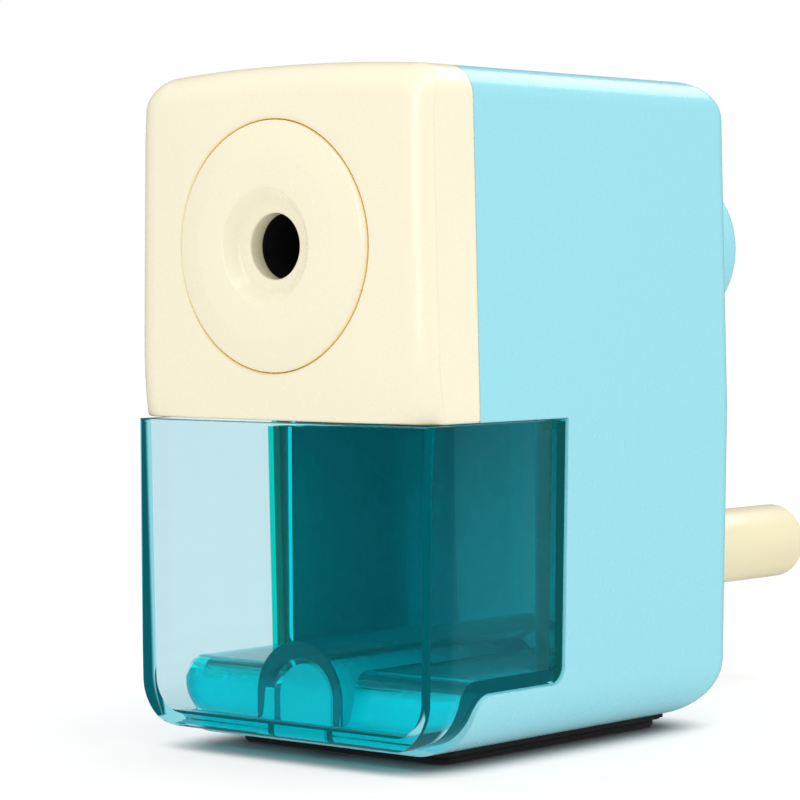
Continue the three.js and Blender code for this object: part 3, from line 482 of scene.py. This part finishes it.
def drawer_outside():
    top, floor, t = SEAM_Z - GAP, FLOOR_Z + GAP, TRAY_HALF_WIDTH
    front = common(
        extrude("side", drawer_side(), -WIDE, WIDE, "x"),
        extrude("across", drawer_outline(0, DRAWER_BOTTOM, top + 1), -FAR, FAR, "y"),
        extrude("plan", drawer_plan(), 0, FAR, "z"),
    )
    tray = rounded([(-t, floor, 2.0), (t, floor, 2.0), (t, top - 1.4, 0.4), (-t, top - 1.4, 0.4)])
    return add(front, extrude("tray", tray, DRAWER_SIDE_BACK_Y - 3.6, DRAWER_BACK_Y, "y"))


def make_drawer():
    floor, t, tall = FLOOR_Z + GAP + TRAY_WALL, TRAY_HALF_WIDTH - TRAY_WALL, 60
    tray_inside = rounded([(-t, floor, 2.0), (t, floor, 2.0), (t, tall), (-t, tall)])
    shell = cut(
        drawer_outside(),
        drawer_inside(DRAWER_WALL),
        extrude("in", tray_inside, DRAWER_SIDE_BACK_Y - 5.6, DRAWER_BACK_Y - TRAY_WALL, "y"),
    )
    ridge = arch(RAIL_R + 3.2, RAIL_TOP_Z + 3.4, DRAWER_BOTTOM + 0.2)
    add(shell, common(extrude("ridge", ridge, RAIL_FRONT_Y - 2.3, DRAWER_BACK_Y, "y"), drawer_outside()))
    cut(shell, extrude("tunnel", arch(RAIL_R + 0.8, RAIL_TOP_Z + 0.9, 0), RAIL_FRONT_Y - 0.4, 30, "y"))
    return finish_solid(shell, "drawer_shell")


# ---- Small pieces ---------------------------------------------------------------------------------------
def make_disc():
    """A crowned disc with a dish round the pencil hole. Its rounded rim meets the cover in a V groove."""
    rim = DISC_R - 0.04
    return lathe("guide_disc_dish", [
        (HOLE_R, FRONT_Y + 2.4, 0.2),
        (HOLE_R, FRONT_Y - 0.25, 0.35),
        (6.7, FRONT_Y - 0.7, 1.1),
        (8.5, FACE_Y - 1.2, 0.45),
        (13.5, FACE_Y - 1.05, 4.0),
        (rim, FACE_Y - 0.05, 1.1),
        (rim, LEDGE_Y - GAP, 0.1),
        (LEDGE_R - GAP, LEDGE_Y - GAP),
        (LEDGE_R - GAP, FRONT_Y + 2.7, 0.2),
        (14.5, FRONT_Y + 2.7, 0.2),
        (14.0, FRONT_Y + 0.8, 0.3),
        (7.0, FRONT_Y + 0.8, 0.3),
        (7.0, FRONT_Y + 2.4, 0.2),
    ], segments=160)


def make_sleeve():
    f = FRONT_Y
    return lathe("guide_sleeve_tube", [
        (5.5, f + 3.2, 0.2), (8.0, f + 3.2, 0.2), (8.0, f + 9), (11.0, f + 9, 0.3), (11.0, -27.9, 0.2),
        (8.0, -27.9), (8.0, f + 20, 0.4), (6.5, f + 22, 0.2), (4.4, f + 22, 0.2), (4.4, f + 14),
    ], segments=96)


def make_holder():
    b, f = BACK_Y, CRANK_FRONT_Y
    barrel = lathe("cutter_holder_barrel", [
        (14.0, 17.6), (15.2, 17.6, 0.2), (15.2, b + GAP), (20.0, b + GAP, 0.3), (20.0, b + 2.2, 0.8),
        (18.6, b + 3.0, 0.6), (16.5, b + 3.0, 0.6), (14.0, f - 1, 0.7), (12.0, f - 1, 0.3),
        (12.0, b + 6), (7.5, b + 6), (7.5, f - 1.2, 0.2), (4.9, f - 1.2),
        (4.9, 28.0), (9.3, 28.0), (9.3, 22.9), (14.0, 22.9),
    ], segments=128)
    ribs, half, inner_r, outer_r, fall = 16, 0.65, 15.0, 17.3, 1.4
    section_xz = rounded([(-half, inner_r), (half, inner_r), (half, outer_r, 0.45), (-half, outer_r, 0.45)])
    for i in range(ribs):
        rib = extrude("rib", section_xz, b + 2.6, b + 12, "y")
        for v in rib.data.vertices:
            if v.co.y > (b + 8) * MM and v.co.z > (inner_r + 1) * MM:
                v.co.z -= fall * MM  # the rib's top follows the barrel's taper
        rib.data.transform(Matrix.Rotation(2 * math.pi * i / ribs, 4, "Y"))
        rib.data.transform(Matrix.Translation((0, 0, AXIS_Z * MM)))
        add(barrel, rib)
    return finish_solid(barrel, "cutter_holder_barrel")


def crank_bar(end):
    """The crank's bar, with softened edges."""
    bar = [(6.2, AXIS_Z), (-6.2, AXIS_Z)] + arc(0, end, 7.1, 180, 360, 32)
    arm = extrude("arm", bar, CRANK_FRONT_Y + 0.6, CRANK_BACK_Y - 0.3, "y")
    bevel = arm.modifiers.new("bevel", "BEVEL")
    bevel.width, bevel.segments = 1.0 * MM, 4
    bevel.limit_method, bevel.angle_limit = "ANGLE", math.radians(50)
    return apply_modifiers(arm)


def make_crank():
    f, b, far_y = CRANK_FRONT_Y, CRANK_BACK_Y, 80
    hub = lathe("crank_arm_body", [
        (0.0, f), (13.7, f, 0.6), (13.7, b, 1.6), (8.6, b, 0.4), (8.0, b - 2, 0.3), (0.0, b - 2),
    ], segments=128)
    end = AXIS_Z - CRANK_LENGTH
    arm = cut(crank_bar(end), cylinder(12.5, 0, far_y))
    half, low, high, r = 3.6, end + 12, AXIS_Z - 18, 3.5
    slot = rounded([(-half, low, r), (half, low, r), (half, high, r), (-half, high, r)], 10)
    cut(arm, extrude("slot", slot, b - 2.3, far_y, "y"))
    cut(arm, cylinder(1.95, 0, far_y, 0, end), cylinder(3.3, 0, f + 2, 0, end))
    cut(hub, cylinder(1.75, 0, far_y))
    add(hub, arm)
    return finish_solid(hub, "crank_arm_body")


def make_knob():
    f, b, r, pin_r, bore_r = KNOB_FRONT_Y, KNOB_BACK_Y, KNOB_R, 2.0, 3.7
    return lathe("handle_knob_grip", [
        (pin_r, f), (r - 0.15, f, 1.0), (r, f + 2.4), (r, b, 1.1),
        (bore_r, b, 0.4), (bore_r, b - 6, 0.2), (pin_r, b - 6),
    ], z=AXIS_Z - CRANK_LENGTH, segments=96)


def rounded_plan(x, y0, y1, r, steps):
    """A rounded rectangle in (x, y), from -x to x and from y0 to y1."""
    return rounded([(-x, y0, r), (x, y0, r), (x, y1, r), (-x, y1, r)], steps)


def make_plate():
    back_y = 27.0
    plate = extrude("base_plate_sheet", rounded_plan(21.0, -26.9, back_y, 2.0, 8), 1.3, 1.9, "z")
    add(plate, extrude("inner", rounded_plan(21.1, -25.6, back_y, 1, 8), 1.5, 3.7, "z"))
    for x, y in BASE_SCREWS:
        head = extrude("hole", circle(x, y, 2.5, 36), 0, 2.5, "z")
        shank = extrude("hole", circle(x, y, 1.8, 36), 0, 9, "z")
        cut(plate, head, shank)
    return finish_solid(plate, "base_plate_sheet")


def make_pad():
    """Foam rubber: rounded edges, and shallow grooves underneath."""
    x, y = 20.5, 26.5
    rings = []
    for inset, z in ((0.5, 0.0), (0.15, 0.12), (0.0, 0.4), (0.0, 0.9), (0.2, 1.2)):
        rings.append([(u, v, z) for u, v in rounded_plan(x - inset, inset - y, y - inset, 3.0, 10)])
    pad = loft("foot_pad_rubber", rings)
    spacing, half, depth = 7.2, 0.4, 0.35
    for i in range(-2, 3):
        cut(pad, block(i * spacing - half, i * spacing + half, -22, 22, -1, depth))
    return finish_solid(pad, "foot_pad_rubber")


# ---- Materials ------------------------------------------------------------------------------------------
def linear(rgb):
    """A colour given from 0 to 255, in linear light with full alpha."""
    return tuple((c / 255 / 12.92) if c <= 10 else ((c / 255 + 0.055) / 1.055) ** 2.4 for c in rgb) + (1.0,)


class Nodes:
    """A short way to build one material's nodes."""

    def __init__(self, name):
        self.mat = bpy.data.materials.new(name)
        self.mat.use_nodes = True
        self.tree = self.mat.node_tree
        self.tree.nodes.clear()
        self.out = self.new("ShaderNodeOutputMaterial")
        self.coords = self.new("ShaderNodeTexCoord")

    def new(self, kind, **values):
        n = self.tree.nodes.new(kind)
        for key, value in values.items():
            setattr(n, key, value)
        return n

    def link(self, a, b):
        self.tree.links.new(a, b)

    def noise(self, scale, detail=4.0, rough=0.5, stretch=None):
        n = self.new("ShaderNodeTexNoise")
        n.inputs["Scale"].default_value = scale
        n.inputs["Detail"].default_value = detail
        n.inputs["Roughness"].default_value = rough
        source = self.coords.outputs["Object"]
        if stretch:
            m = self.new("ShaderNodeMapping")
            m.inputs["Scale"].default_value = stretch
            self.link(source, m.inputs["Vector"])
            source = m.outputs["Vector"]
        self.link(source, n.inputs["Vector"])
        return n.outputs["Fac"]

    def spread(self, value, low, high, a=0.3, b=0.7):
        """A number from low to high as a value goes from a to b."""
        n = self.new("ShaderNodeMapRange")
        for i, v in enumerate((a, b, low, high)):
            n.inputs[i + 1].default_value = v
        self.link(value, n.inputs[0])
        return n.outputs[0]

    def between(self, value, low, high, a=0.3, b=0.7):
        """Colour from low to high as a value goes from a to b."""
        n = self.new("ShaderNodeValToRGB")
        n.color_ramp.elements[0].position, n.color_ramp.elements[0].color = a, low
        n.color_ramp.elements[1].position, n.color_ramp.elements[1].color = b, high
        self.link(value, n.inputs[0])
        return n.outputs["Color"]

    def math(self, operation, *values):
        """A maths node on numbers and sockets."""
        n = self.new("ShaderNodeMath", operation=operation)
        for i, value in enumerate(values):
            if isinstance(value, float):
                n.inputs[i].default_value = value
            else:
                self.link(value, n.inputs[i])
        return n.outputs[0]

    def ramp(self, value, start, end):
        """Rises smoothly from 0 at start to 1 at end."""
        n = self.new("ShaderNodeMapRange", interpolation_type="SMOOTHSTEP")
        for i, v in enumerate((start, end, 0.0, 1.0)):
            n.inputs[i + 1].default_value = v
        self.link(value, n.inputs[0])
        return n.outputs[0]

    def bump(self, value, strength, distance, normal=None):
        n = self.new("ShaderNodeBump")
        n.inputs["Strength"].default_value = strength
        n.inputs["Distance"].default_value = distance
        self.link(value, n.inputs["Height"])
        if normal:
            self.link(normal, n.inputs["Normal"])
        return n.outputs["Normal"]

    def blend(self, amount, low, high):
        """Mixes two colours, each a socket or a constant."""
        n = self.new("ShaderNodeMixRGB")
        self.link(amount, n.inputs[0])
        for socket, colour in ((n.inputs[1], low), (n.inputs[2], high)):
            if isinstance(colour, tuple):
                socket.default_value = colour
            else:
                self.link(colour, socket)
        return n.outputs[0]

    def openness(self, distance, samples):
        """1 where nothing stands near, falling towards 0 in corners."""
        n = self.new("ShaderNodeAmbientOcclusion", samples=samples)
        n.inputs["Distance"].default_value = distance
        return n.outputs["AO"]

    def painted_crease_shade(self, colour, painted_deep_shade):
        """Painted shade: turns to a deeper colour where faces stand close together."""
        return self.blend(self.ramp(self.openness(3.5 * MM, 8), 0.15, 0.8), painted_deep_shade, colour)

    def mix(self, amount, low, high):
        """Mixes two shaders."""
        n = self.new("ShaderNodeMixShader")
        for socket, source in zip(n.inputs, (amount, low, high)):
            self.link(source, socket)
        return n.outputs[0]

    def edges(self, radius):
        """Normals that round off the edges."""
        n = self.new("ShaderNodeBevel", samples=6)
        n.inputs["Radius"].default_value = radius
        return n.outputs["Normal"]

    def principled(self, **values):
        n = self.new("ShaderNodeBsdfPrincipled")
        for key, value in values.items():
            n.inputs[key.replace("_", " ")].default_value = value
        self.link(n.outputs[0], self.out.inputs["Surface"])
        return n


def shade(rgba, k):
    return tuple(c * k for c in rgba[:3]) + (1.0,)


def moulded(name, rgb, rough=0.27, crease=None):
    """Injection-moulded plastic: polished with a very fine orange peel, faint flow tone, rounded edges.
    A pale plastic is painted a deeper colour in its creases, as painted shade standing in for light passing
    between its faces."""
    n = Nodes(name)
    colour = linear(rgb)
    p = n.principled(IOR=1.5, Coat_Weight=0.25, Coat_Roughness=0.1)
    flow = n.noise(16.0, 2.0, 0.4, (1.0, 1.0, 0.45))
    tone = n.between(flow, shade(colour, 0.992), colour)
    # Painted shade: when a crease colour is given, the colour deepens where faces stand close.
    if crease:
        n.link(n.painted_crease_shade(tone, linear(crease)), p.inputs["Base Color"])
    else:
        n.link(tone, p.inputs["Base Color"])
    uneven = 0.008
    n.link(n.spread(n.noise(500.0, 3.0), rough - uneven, rough + uneven), p.inputs["Roughness"])
    n.link(n.bump(n.noise(700.0, 1.0), 0.02, 0.02 * MM, n.edges(0.4 * MM)), p.inputs["Normal"])
    return n.mat


def pale_walls(n, across, z):
    """1 on the drawer's side walls and 0 inside them. It is measured out from the middle of the rounded lower
    corners, which leans out with the walls higher up."""
    corner_x, corner_z, wall_lean = 20.6 * MM, 10.9 * MM, 0.0233
    lean = n.math("MULTIPLY", n.math("MAXIMUM", n.math("SUBTRACT", z, corner_z), 0.0), wall_lean)
    dx = n.math("MAXIMUM", n.math("SUBTRACT", n.math("SUBTRACT", across, lean), corner_x), 0.0)
    dz = n.math("MAXIMUM", n.math("SUBTRACT", corner_z, z), 0.0)
    far = n.math("SQRT", n.math("ADD", n.math("MULTIPLY", dx, dx), n.math("MULTIPLY", dz, dz)))
    return n.math("MULTIPLY", n.ramp(far, 5.0 * MM, 5.4 * MM), n.ramp(across, 19.0 * MM, 23.0 * MM))


def clear(name):
    """Clear teal plastic. The front and side walls are pale, and what lies behind them is painted deeper, as
    painted shade standing in for light that crosses the dye there several times. Its thickness darkens it
    further."""
    n = Nodes(name)
    p = n.principled(
        Transmission_Weight=1.0, IOR=1.49, Roughness=0.0, Specular_Tint=(0.02, 0.62, 0.68, 1.0)
    )
    n.link(n.bump(n.noise(60.0, 1.0), 0.05, 0.04 * MM), p.inputs["Normal"])
    place = n.new("ShaderNodeSeparateXYZ")
    n.link(n.coords.outputs["Object"], place.inputs[0])
    x, y, z = (place.outputs[axis] for axis in "XYZ")
    across = n.math("ABSOLUTE", x)

    # Where the drawer is painted deep in colour, as painted shade: behind the front, except in the side
    # walls, and all of the tray.
    side = pale_walls(n, across, z)
    behind = n.ramp(y, -35.6 * MM, -34.4 * MM)
    tray = n.ramp(y, -10.45 * MM, -10.3 * MM)
    painted_deep_shade = n.math("MAXIMUM", n.math("MULTIPLY", behind, n.math("SUBTRACT", 1.0, side)), tray)
    tint_and_painted_shade = n.between(painted_deep_shade, (0.81, 0.925, 0.955, 1), (0.0, 1.0, 1.0, 1), 0.0, 1.0)

    # The shoulders between the wide front and the narrower tray are painted darker, as painted shade.
    painted_shoulder_shade = n.math("MULTIPLY", tray, n.ramp(y, -7.9 * MM, -8.2 * MM))
    painted_shoulder_shade = n.math("MULTIPLY", painted_shoulder_shade, n.ramp(across, 24.0 * MM, 24.4 * MM))
    n.link(n.blend(painted_shoulder_shade, tint_and_painted_shade, (0.0, 0.49, 0.36, 1)), p.inputs["Base Color"])

    # The riser of the step has a painted glow: an emission standing in for light that reaches it from the
    # floor.
    low = n.math("MULTIPLY", n.ramp(y, -25.0 * MM, -26.0 * MM), n.ramp(z, 11.4 * MM, 10.6 * MM))
    painted_glow = n.math("MULTIPLY", low, n.math("MULTIPLY", painted_deep_shade, n.ramp(z, 5.0 * MM, 6.0 * MM)))
    n.link(n.between(painted_glow, (0, 0, 0, 1), (0.0, 0.025, 0.03, 1), 0.0, 1.0), p.inputs["Emission Color"])
    p.inputs["Emission Strength"].default_value = 1.0

    # Shadows are tinted, and rays reflected inside the walls see painted light: an emission standing in for
    # the light that the walls pipe along.
    path = n.new("ShaderNodeLightPath")
    through = n.new("ShaderNodeBsdfTransparent")
    n.link(n.between(painted_deep_shade, (0.97, 1.0, 1.0, 1), (0.75, 1.0, 1.0, 1), 0.0, 1.0), through.inputs[0])
    surface = n.mix(path.outputs["Is Shadow Ray"], p.outputs[0], through.outputs[0])
    painted_piped_light = n.new("ShaderNodeEmission")
    pale = n.math("MULTIPLY", side, n.ramp(y, -32.0 * MM, -30.5 * MM))
    n.link(n.between(pale, (0.0, 0.12, 0.14, 1), (0.45, 0.79, 0.85, 1), 0.0, 1.0), painted_piped_light.inputs[0])
    inside = n.new("ShaderNodeNewGeometry").outputs["Backfacing"]
    bounced = n.math("SUBTRACT", path.outputs["Is Glossy Ray"], path.outputs["Is Transmission Ray"])
    reflected = n.math("MULTIPLY", n.math("MAXIMUM", bounced, 0.0), inside)
    n.link(n.mix(reflected, surface, painted_piped_light.outputs[0]), n.out.inputs["Surface"])

    volume = n.new("ShaderNodeVolumeAbsorption")
    volume.inputs["Color"].default_value = (0.01, 0.8, 0.85, 1.0)
    volume.inputs["Density"].default_value = 46.0
    n.link(volume.outputs[0], n.out.inputs["Volume"])
    return n.mat


def metal(name, rgb, rough, stretch, grain=0.15, scale=500.0, mottle=0.88):
    """Worked metal: directional tool marks, uneven sheen and slight darkening."""
    n = Nodes(name)
    colour = linear(rgb)
    p = n.principled(Metallic=1.0, Anisotropic=0.35)
    marks = n.noise(scale, 6.0, 0.6, stretch)
    n.link(n.between(n.noise(220.0, 4.0), shade(colour, mottle), colour), p.inputs["Base Color"])
    n.link(n.spread(marks, rough - 0.08, rough + 0.12), p.inputs["Roughness"])
    n.link(n.bump(marks, grain, 0.08 * MM, n.edges(0.15 * MM)), p.inputs["Normal"])
    return n.mat


def rubber(name):
    """Black foam rubber, matt and pored."""
    n = Nodes(name)
    p = n.principled(IOR=1.45, Specular_IOR_Level=0.35, Sheen_Weight=0.15, Sheen_Roughness=0.5)
    pores = n.noise(2600.0, 4.0, 0.7)
    n.link(n.between(pores, (0.008, 0.008, 0.009, 1), (0.022, 0.022, 0.024, 1)), p.inputs["Base Color"])
    n.link(n.spread(pores, 0.7, 0.92), p.inputs["Roughness"])
    n.link(n.bump(pores, 0.5, 0.1 * MM), p.inputs["Normal"])
    return n.mat


def acetal(name):
    """Uncoloured gear plastic, slightly cloudy."""
    n = Nodes(name)
    p = n.principled(IOR=1.48, Subsurface_Weight=0.12, Subsurface_Scale=2 * MM)
    cloud = n.noise(120.0, 3.0)
    n.link(n.between(cloud, linear((226, 222, 210)), linear((240, 237, 228))), p.inputs["Base Color"])
    n.link(n.spread(n.noise(300.0), 0.38, 0.5), p.inputs["Roughness"])
    n.link(n.bump(n.noise(900.0), 0.06, 0.08 * MM, n.edges(0.2 * MM)), p.inputs["Normal"])
    return n.mat


BLUE = moulded("blue_plastic", (158, 229, 241))
# The crease colours below are painted shade for creases and grooves.
CREAM = moulded("cream_plastic", (254, 246, 217), crease=(248, 218, 116))
KNOB_CREAM = moulded("cream_knob_plastic", (249, 236, 198), 0.32, crease=(238, 216, 140))
DARK = moulded("black_plastic", (20, 20, 22), 0.55)
TEAL = clear("clear_teal_plastic")
STEEL = metal("bright_steel", (196, 199, 203), 0.28, (1, 1, 12))
TOOL_STEEL = metal("ground_tool_steel", (150, 152, 156), 0.32, (14, 1, 14))
ZINC = metal("cast_zinc", (168, 170, 173), 0.5, (1, 1, 1), 0.35, 260.0, 0.8)
BRASS = metal("turned_brass", (196, 158, 88), 0.35, (1, 14, 1))
ACETAL = acetal("natural_acetal")
RUBBER = rubber("foam_rubber")


def dress(obj, material, body, slot, *nodes):
    """Gives a piece its material and body, and hides the CAD nodes that it stands in for. The slot is not
    used.
    """
    obj.data.materials.clear()
    obj.data.materials.append(material)
    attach(obj, body)
    if nodes:
        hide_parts(*nodes)


dress(make_housing(), BLUE, "body", "blue_shell", "housing")
dress(make_cover(), CREAM, "body", "cream_shell", "front_cover")
dress(make_disc(), CREAM, "body", "cream_shell", "guide_disc")
dress(make_sleeve(), DARK, "body", "dark_plastic", "guide_sleeve")
dress(make_plate(), DARK, "body", "dark_plastic", "base_plate")
dress(make_pad(), RUBBER, "body", "pad_rubber", "foot_pad")
dress(make_holder(), CREAM, "body", "cream_shell", "cutter_holder")
dress(make_drawer(), TEAL, "drawer", "clear_teal", "drawer")
dress(make_crank(), BLUE, "crank", "blue_shell", "crank_arm")
dress(make_knob(), KNOB_CREAM, "knob", "cream_shell", "handle_knob")

# Screws, gears, shafts and the cutter keep their CAD shapes and take these looks.
LOOKS = {"steel": STEEL, "tool_steel": TOOL_STEEL, "zinc": ZINC, "bush_brass": BRASS, "gear_plastic": ACETAL}
for part in frame["record"]["subparts"]:
    look = LOOKS.get(part["material_slot"])
    if look:
        for holder in frame["nodes"][part["node"]].material_slots:
            holder.material = look

# ---- Stage, light and camera ----------------------------------------------------------------------------
def paper():
    """White floor paper, lit a little from itself, with a painted contact shadow where its glow fades close
    to what stands on it.
    """
    n = Nodes("floor_paper")
    p = n.principled(Roughness=0.85, Specular_IOR_Level=0.1, Emission_Strength=0.6)
    grain = n.between(n.noise(30.0), (0.38, 0.38, 0.38, 1), (0.4, 0.4, 0.4, 1))
    n.link(grain, p.inputs["Base Color"])
    # Painted contact shadow: the floor's glow fades where something stands near.
    painted_glow = n.between(n.openness(13 * MM, 16), (0, 0, 0, 1), (1, 1, 1, 1), 0.2, 0.6)
    n.link(painted_glow, p.inputs["Emission Color"])
    return n.mat


def make_floor():
    bm = bmesh.new()
    bmesh.ops.create_grid(bm, x_segments=1, y_segments=1, size=6000)
    floor = new_object("studio_floor", bm)
    floor.data.materials.append(paper())
    floor.visible_glossy = False  # the plastics reflect only the softboxes and a dim room


def make_world(seen, lit, reflected):
    """A white room with its own brightness to the eye, on diffuse surfaces and in reflections."""
    world = bpy.data.worlds.new("studio")
    bpy.context.scene.world = world
    world.use_nodes = True
    nodes, links = world.node_tree.nodes, world.node_tree.links
    nodes.remove(nodes["Background"])
    path = nodes.new("ShaderNodeLightPath")

    def background(strength):
        shader = nodes.new("ShaderNodeBackground")
        shader.inputs["Color"].default_value, shader.inputs["Strength"].default_value = (1, 1, 1, 1), strength
        return shader.outputs[0]

    room, eye = background(lit), background(seen)
    for flag, light in (
        ("Is Glossy Ray", background(reflected)), ("Is Transmission Ray", eye), ("Is Camera Ray", eye),
    ):
        mixed = nodes.new("ShaderNodeMixShader")
        for socket, source in zip(mixed.inputs, (path.outputs[flag], room, light)):
            links.new(source, socket)
        room = mixed.outputs[0]
    links.new(room, nodes["World Output"].inputs["Surface"])


def overhead_light():
    sun = bpy.data.lights.new("overhead_light", "SUN")
    sun.energy, sun.angle = 0.9, math.radians(40)
    lamp = link_object("overhead_light", sun)
    lamp.rotation_euler = Vector((0.28, -0.08, 1)).to_track_quat("Z", "Y").to_euler()


def reflected_light(name, direction, width, height, brightness):
    """A softbox that only shows as a highlight in glossy surfaces."""
    away, aim_height = 1.5, 0.06  # metres
    area = bpy.data.lights.new(name, "AREA")
    area.shape, area.size, area.size_y = "RECTANGLE", width, height
    area.energy = brightness * math.pi * width * height
    lamp = link_object(name, area)
    toward = Vector(direction).normalized()
    lamp.location = toward * away + Vector((0, 0, aim_height))
    lamp.rotation_euler = toward.to_track_quat("Z", "Y").to_euler()
    lamp.visible_diffuse = lamp.visible_transmission = lamp.visible_camera = False


def make_camera():
    data = bpy.data.cameras.new("camera")
    camera = link_object("camera", data)
    data.lens, data.sensor_width = 139.957, 36.0
    data.clip_start, data.clip_end = 0.01, 100
    place, roll = Vector((0.30706, -0.36745, 0.06918)), math.radians(-0.32)
    forward = Vector((-0.65302, 0.75640, -0.03664)).normalized()
    right = forward.cross(Vector((0, 0, 1))).normalized()
    up = right.cross(forward)
    right, up = right * math.cos(roll) + up * math.sin(roll), up * math.cos(roll) - right * math.sin(roll)
    turn = Matrix((right, up, -forward)).transposed().to_4x4()
    camera.matrix_world = Matrix.Translation(place) @ turn
    bpy.context.scene.camera = camera
    bpy.context.scene.view_settings.view_transform = "Standard"


make_floor()
make_world(seen=1.0, lit=0.92, reflected=0.2)
overhead_light()
reflected_light("front_softbox", (0.16, -1, 0.5), 0.3, 1.5, 3.5)
reflected_light("back_softbox", (0.04, 0.76, 0.66), 0.9, 0.5, 3.0)
make_camera()
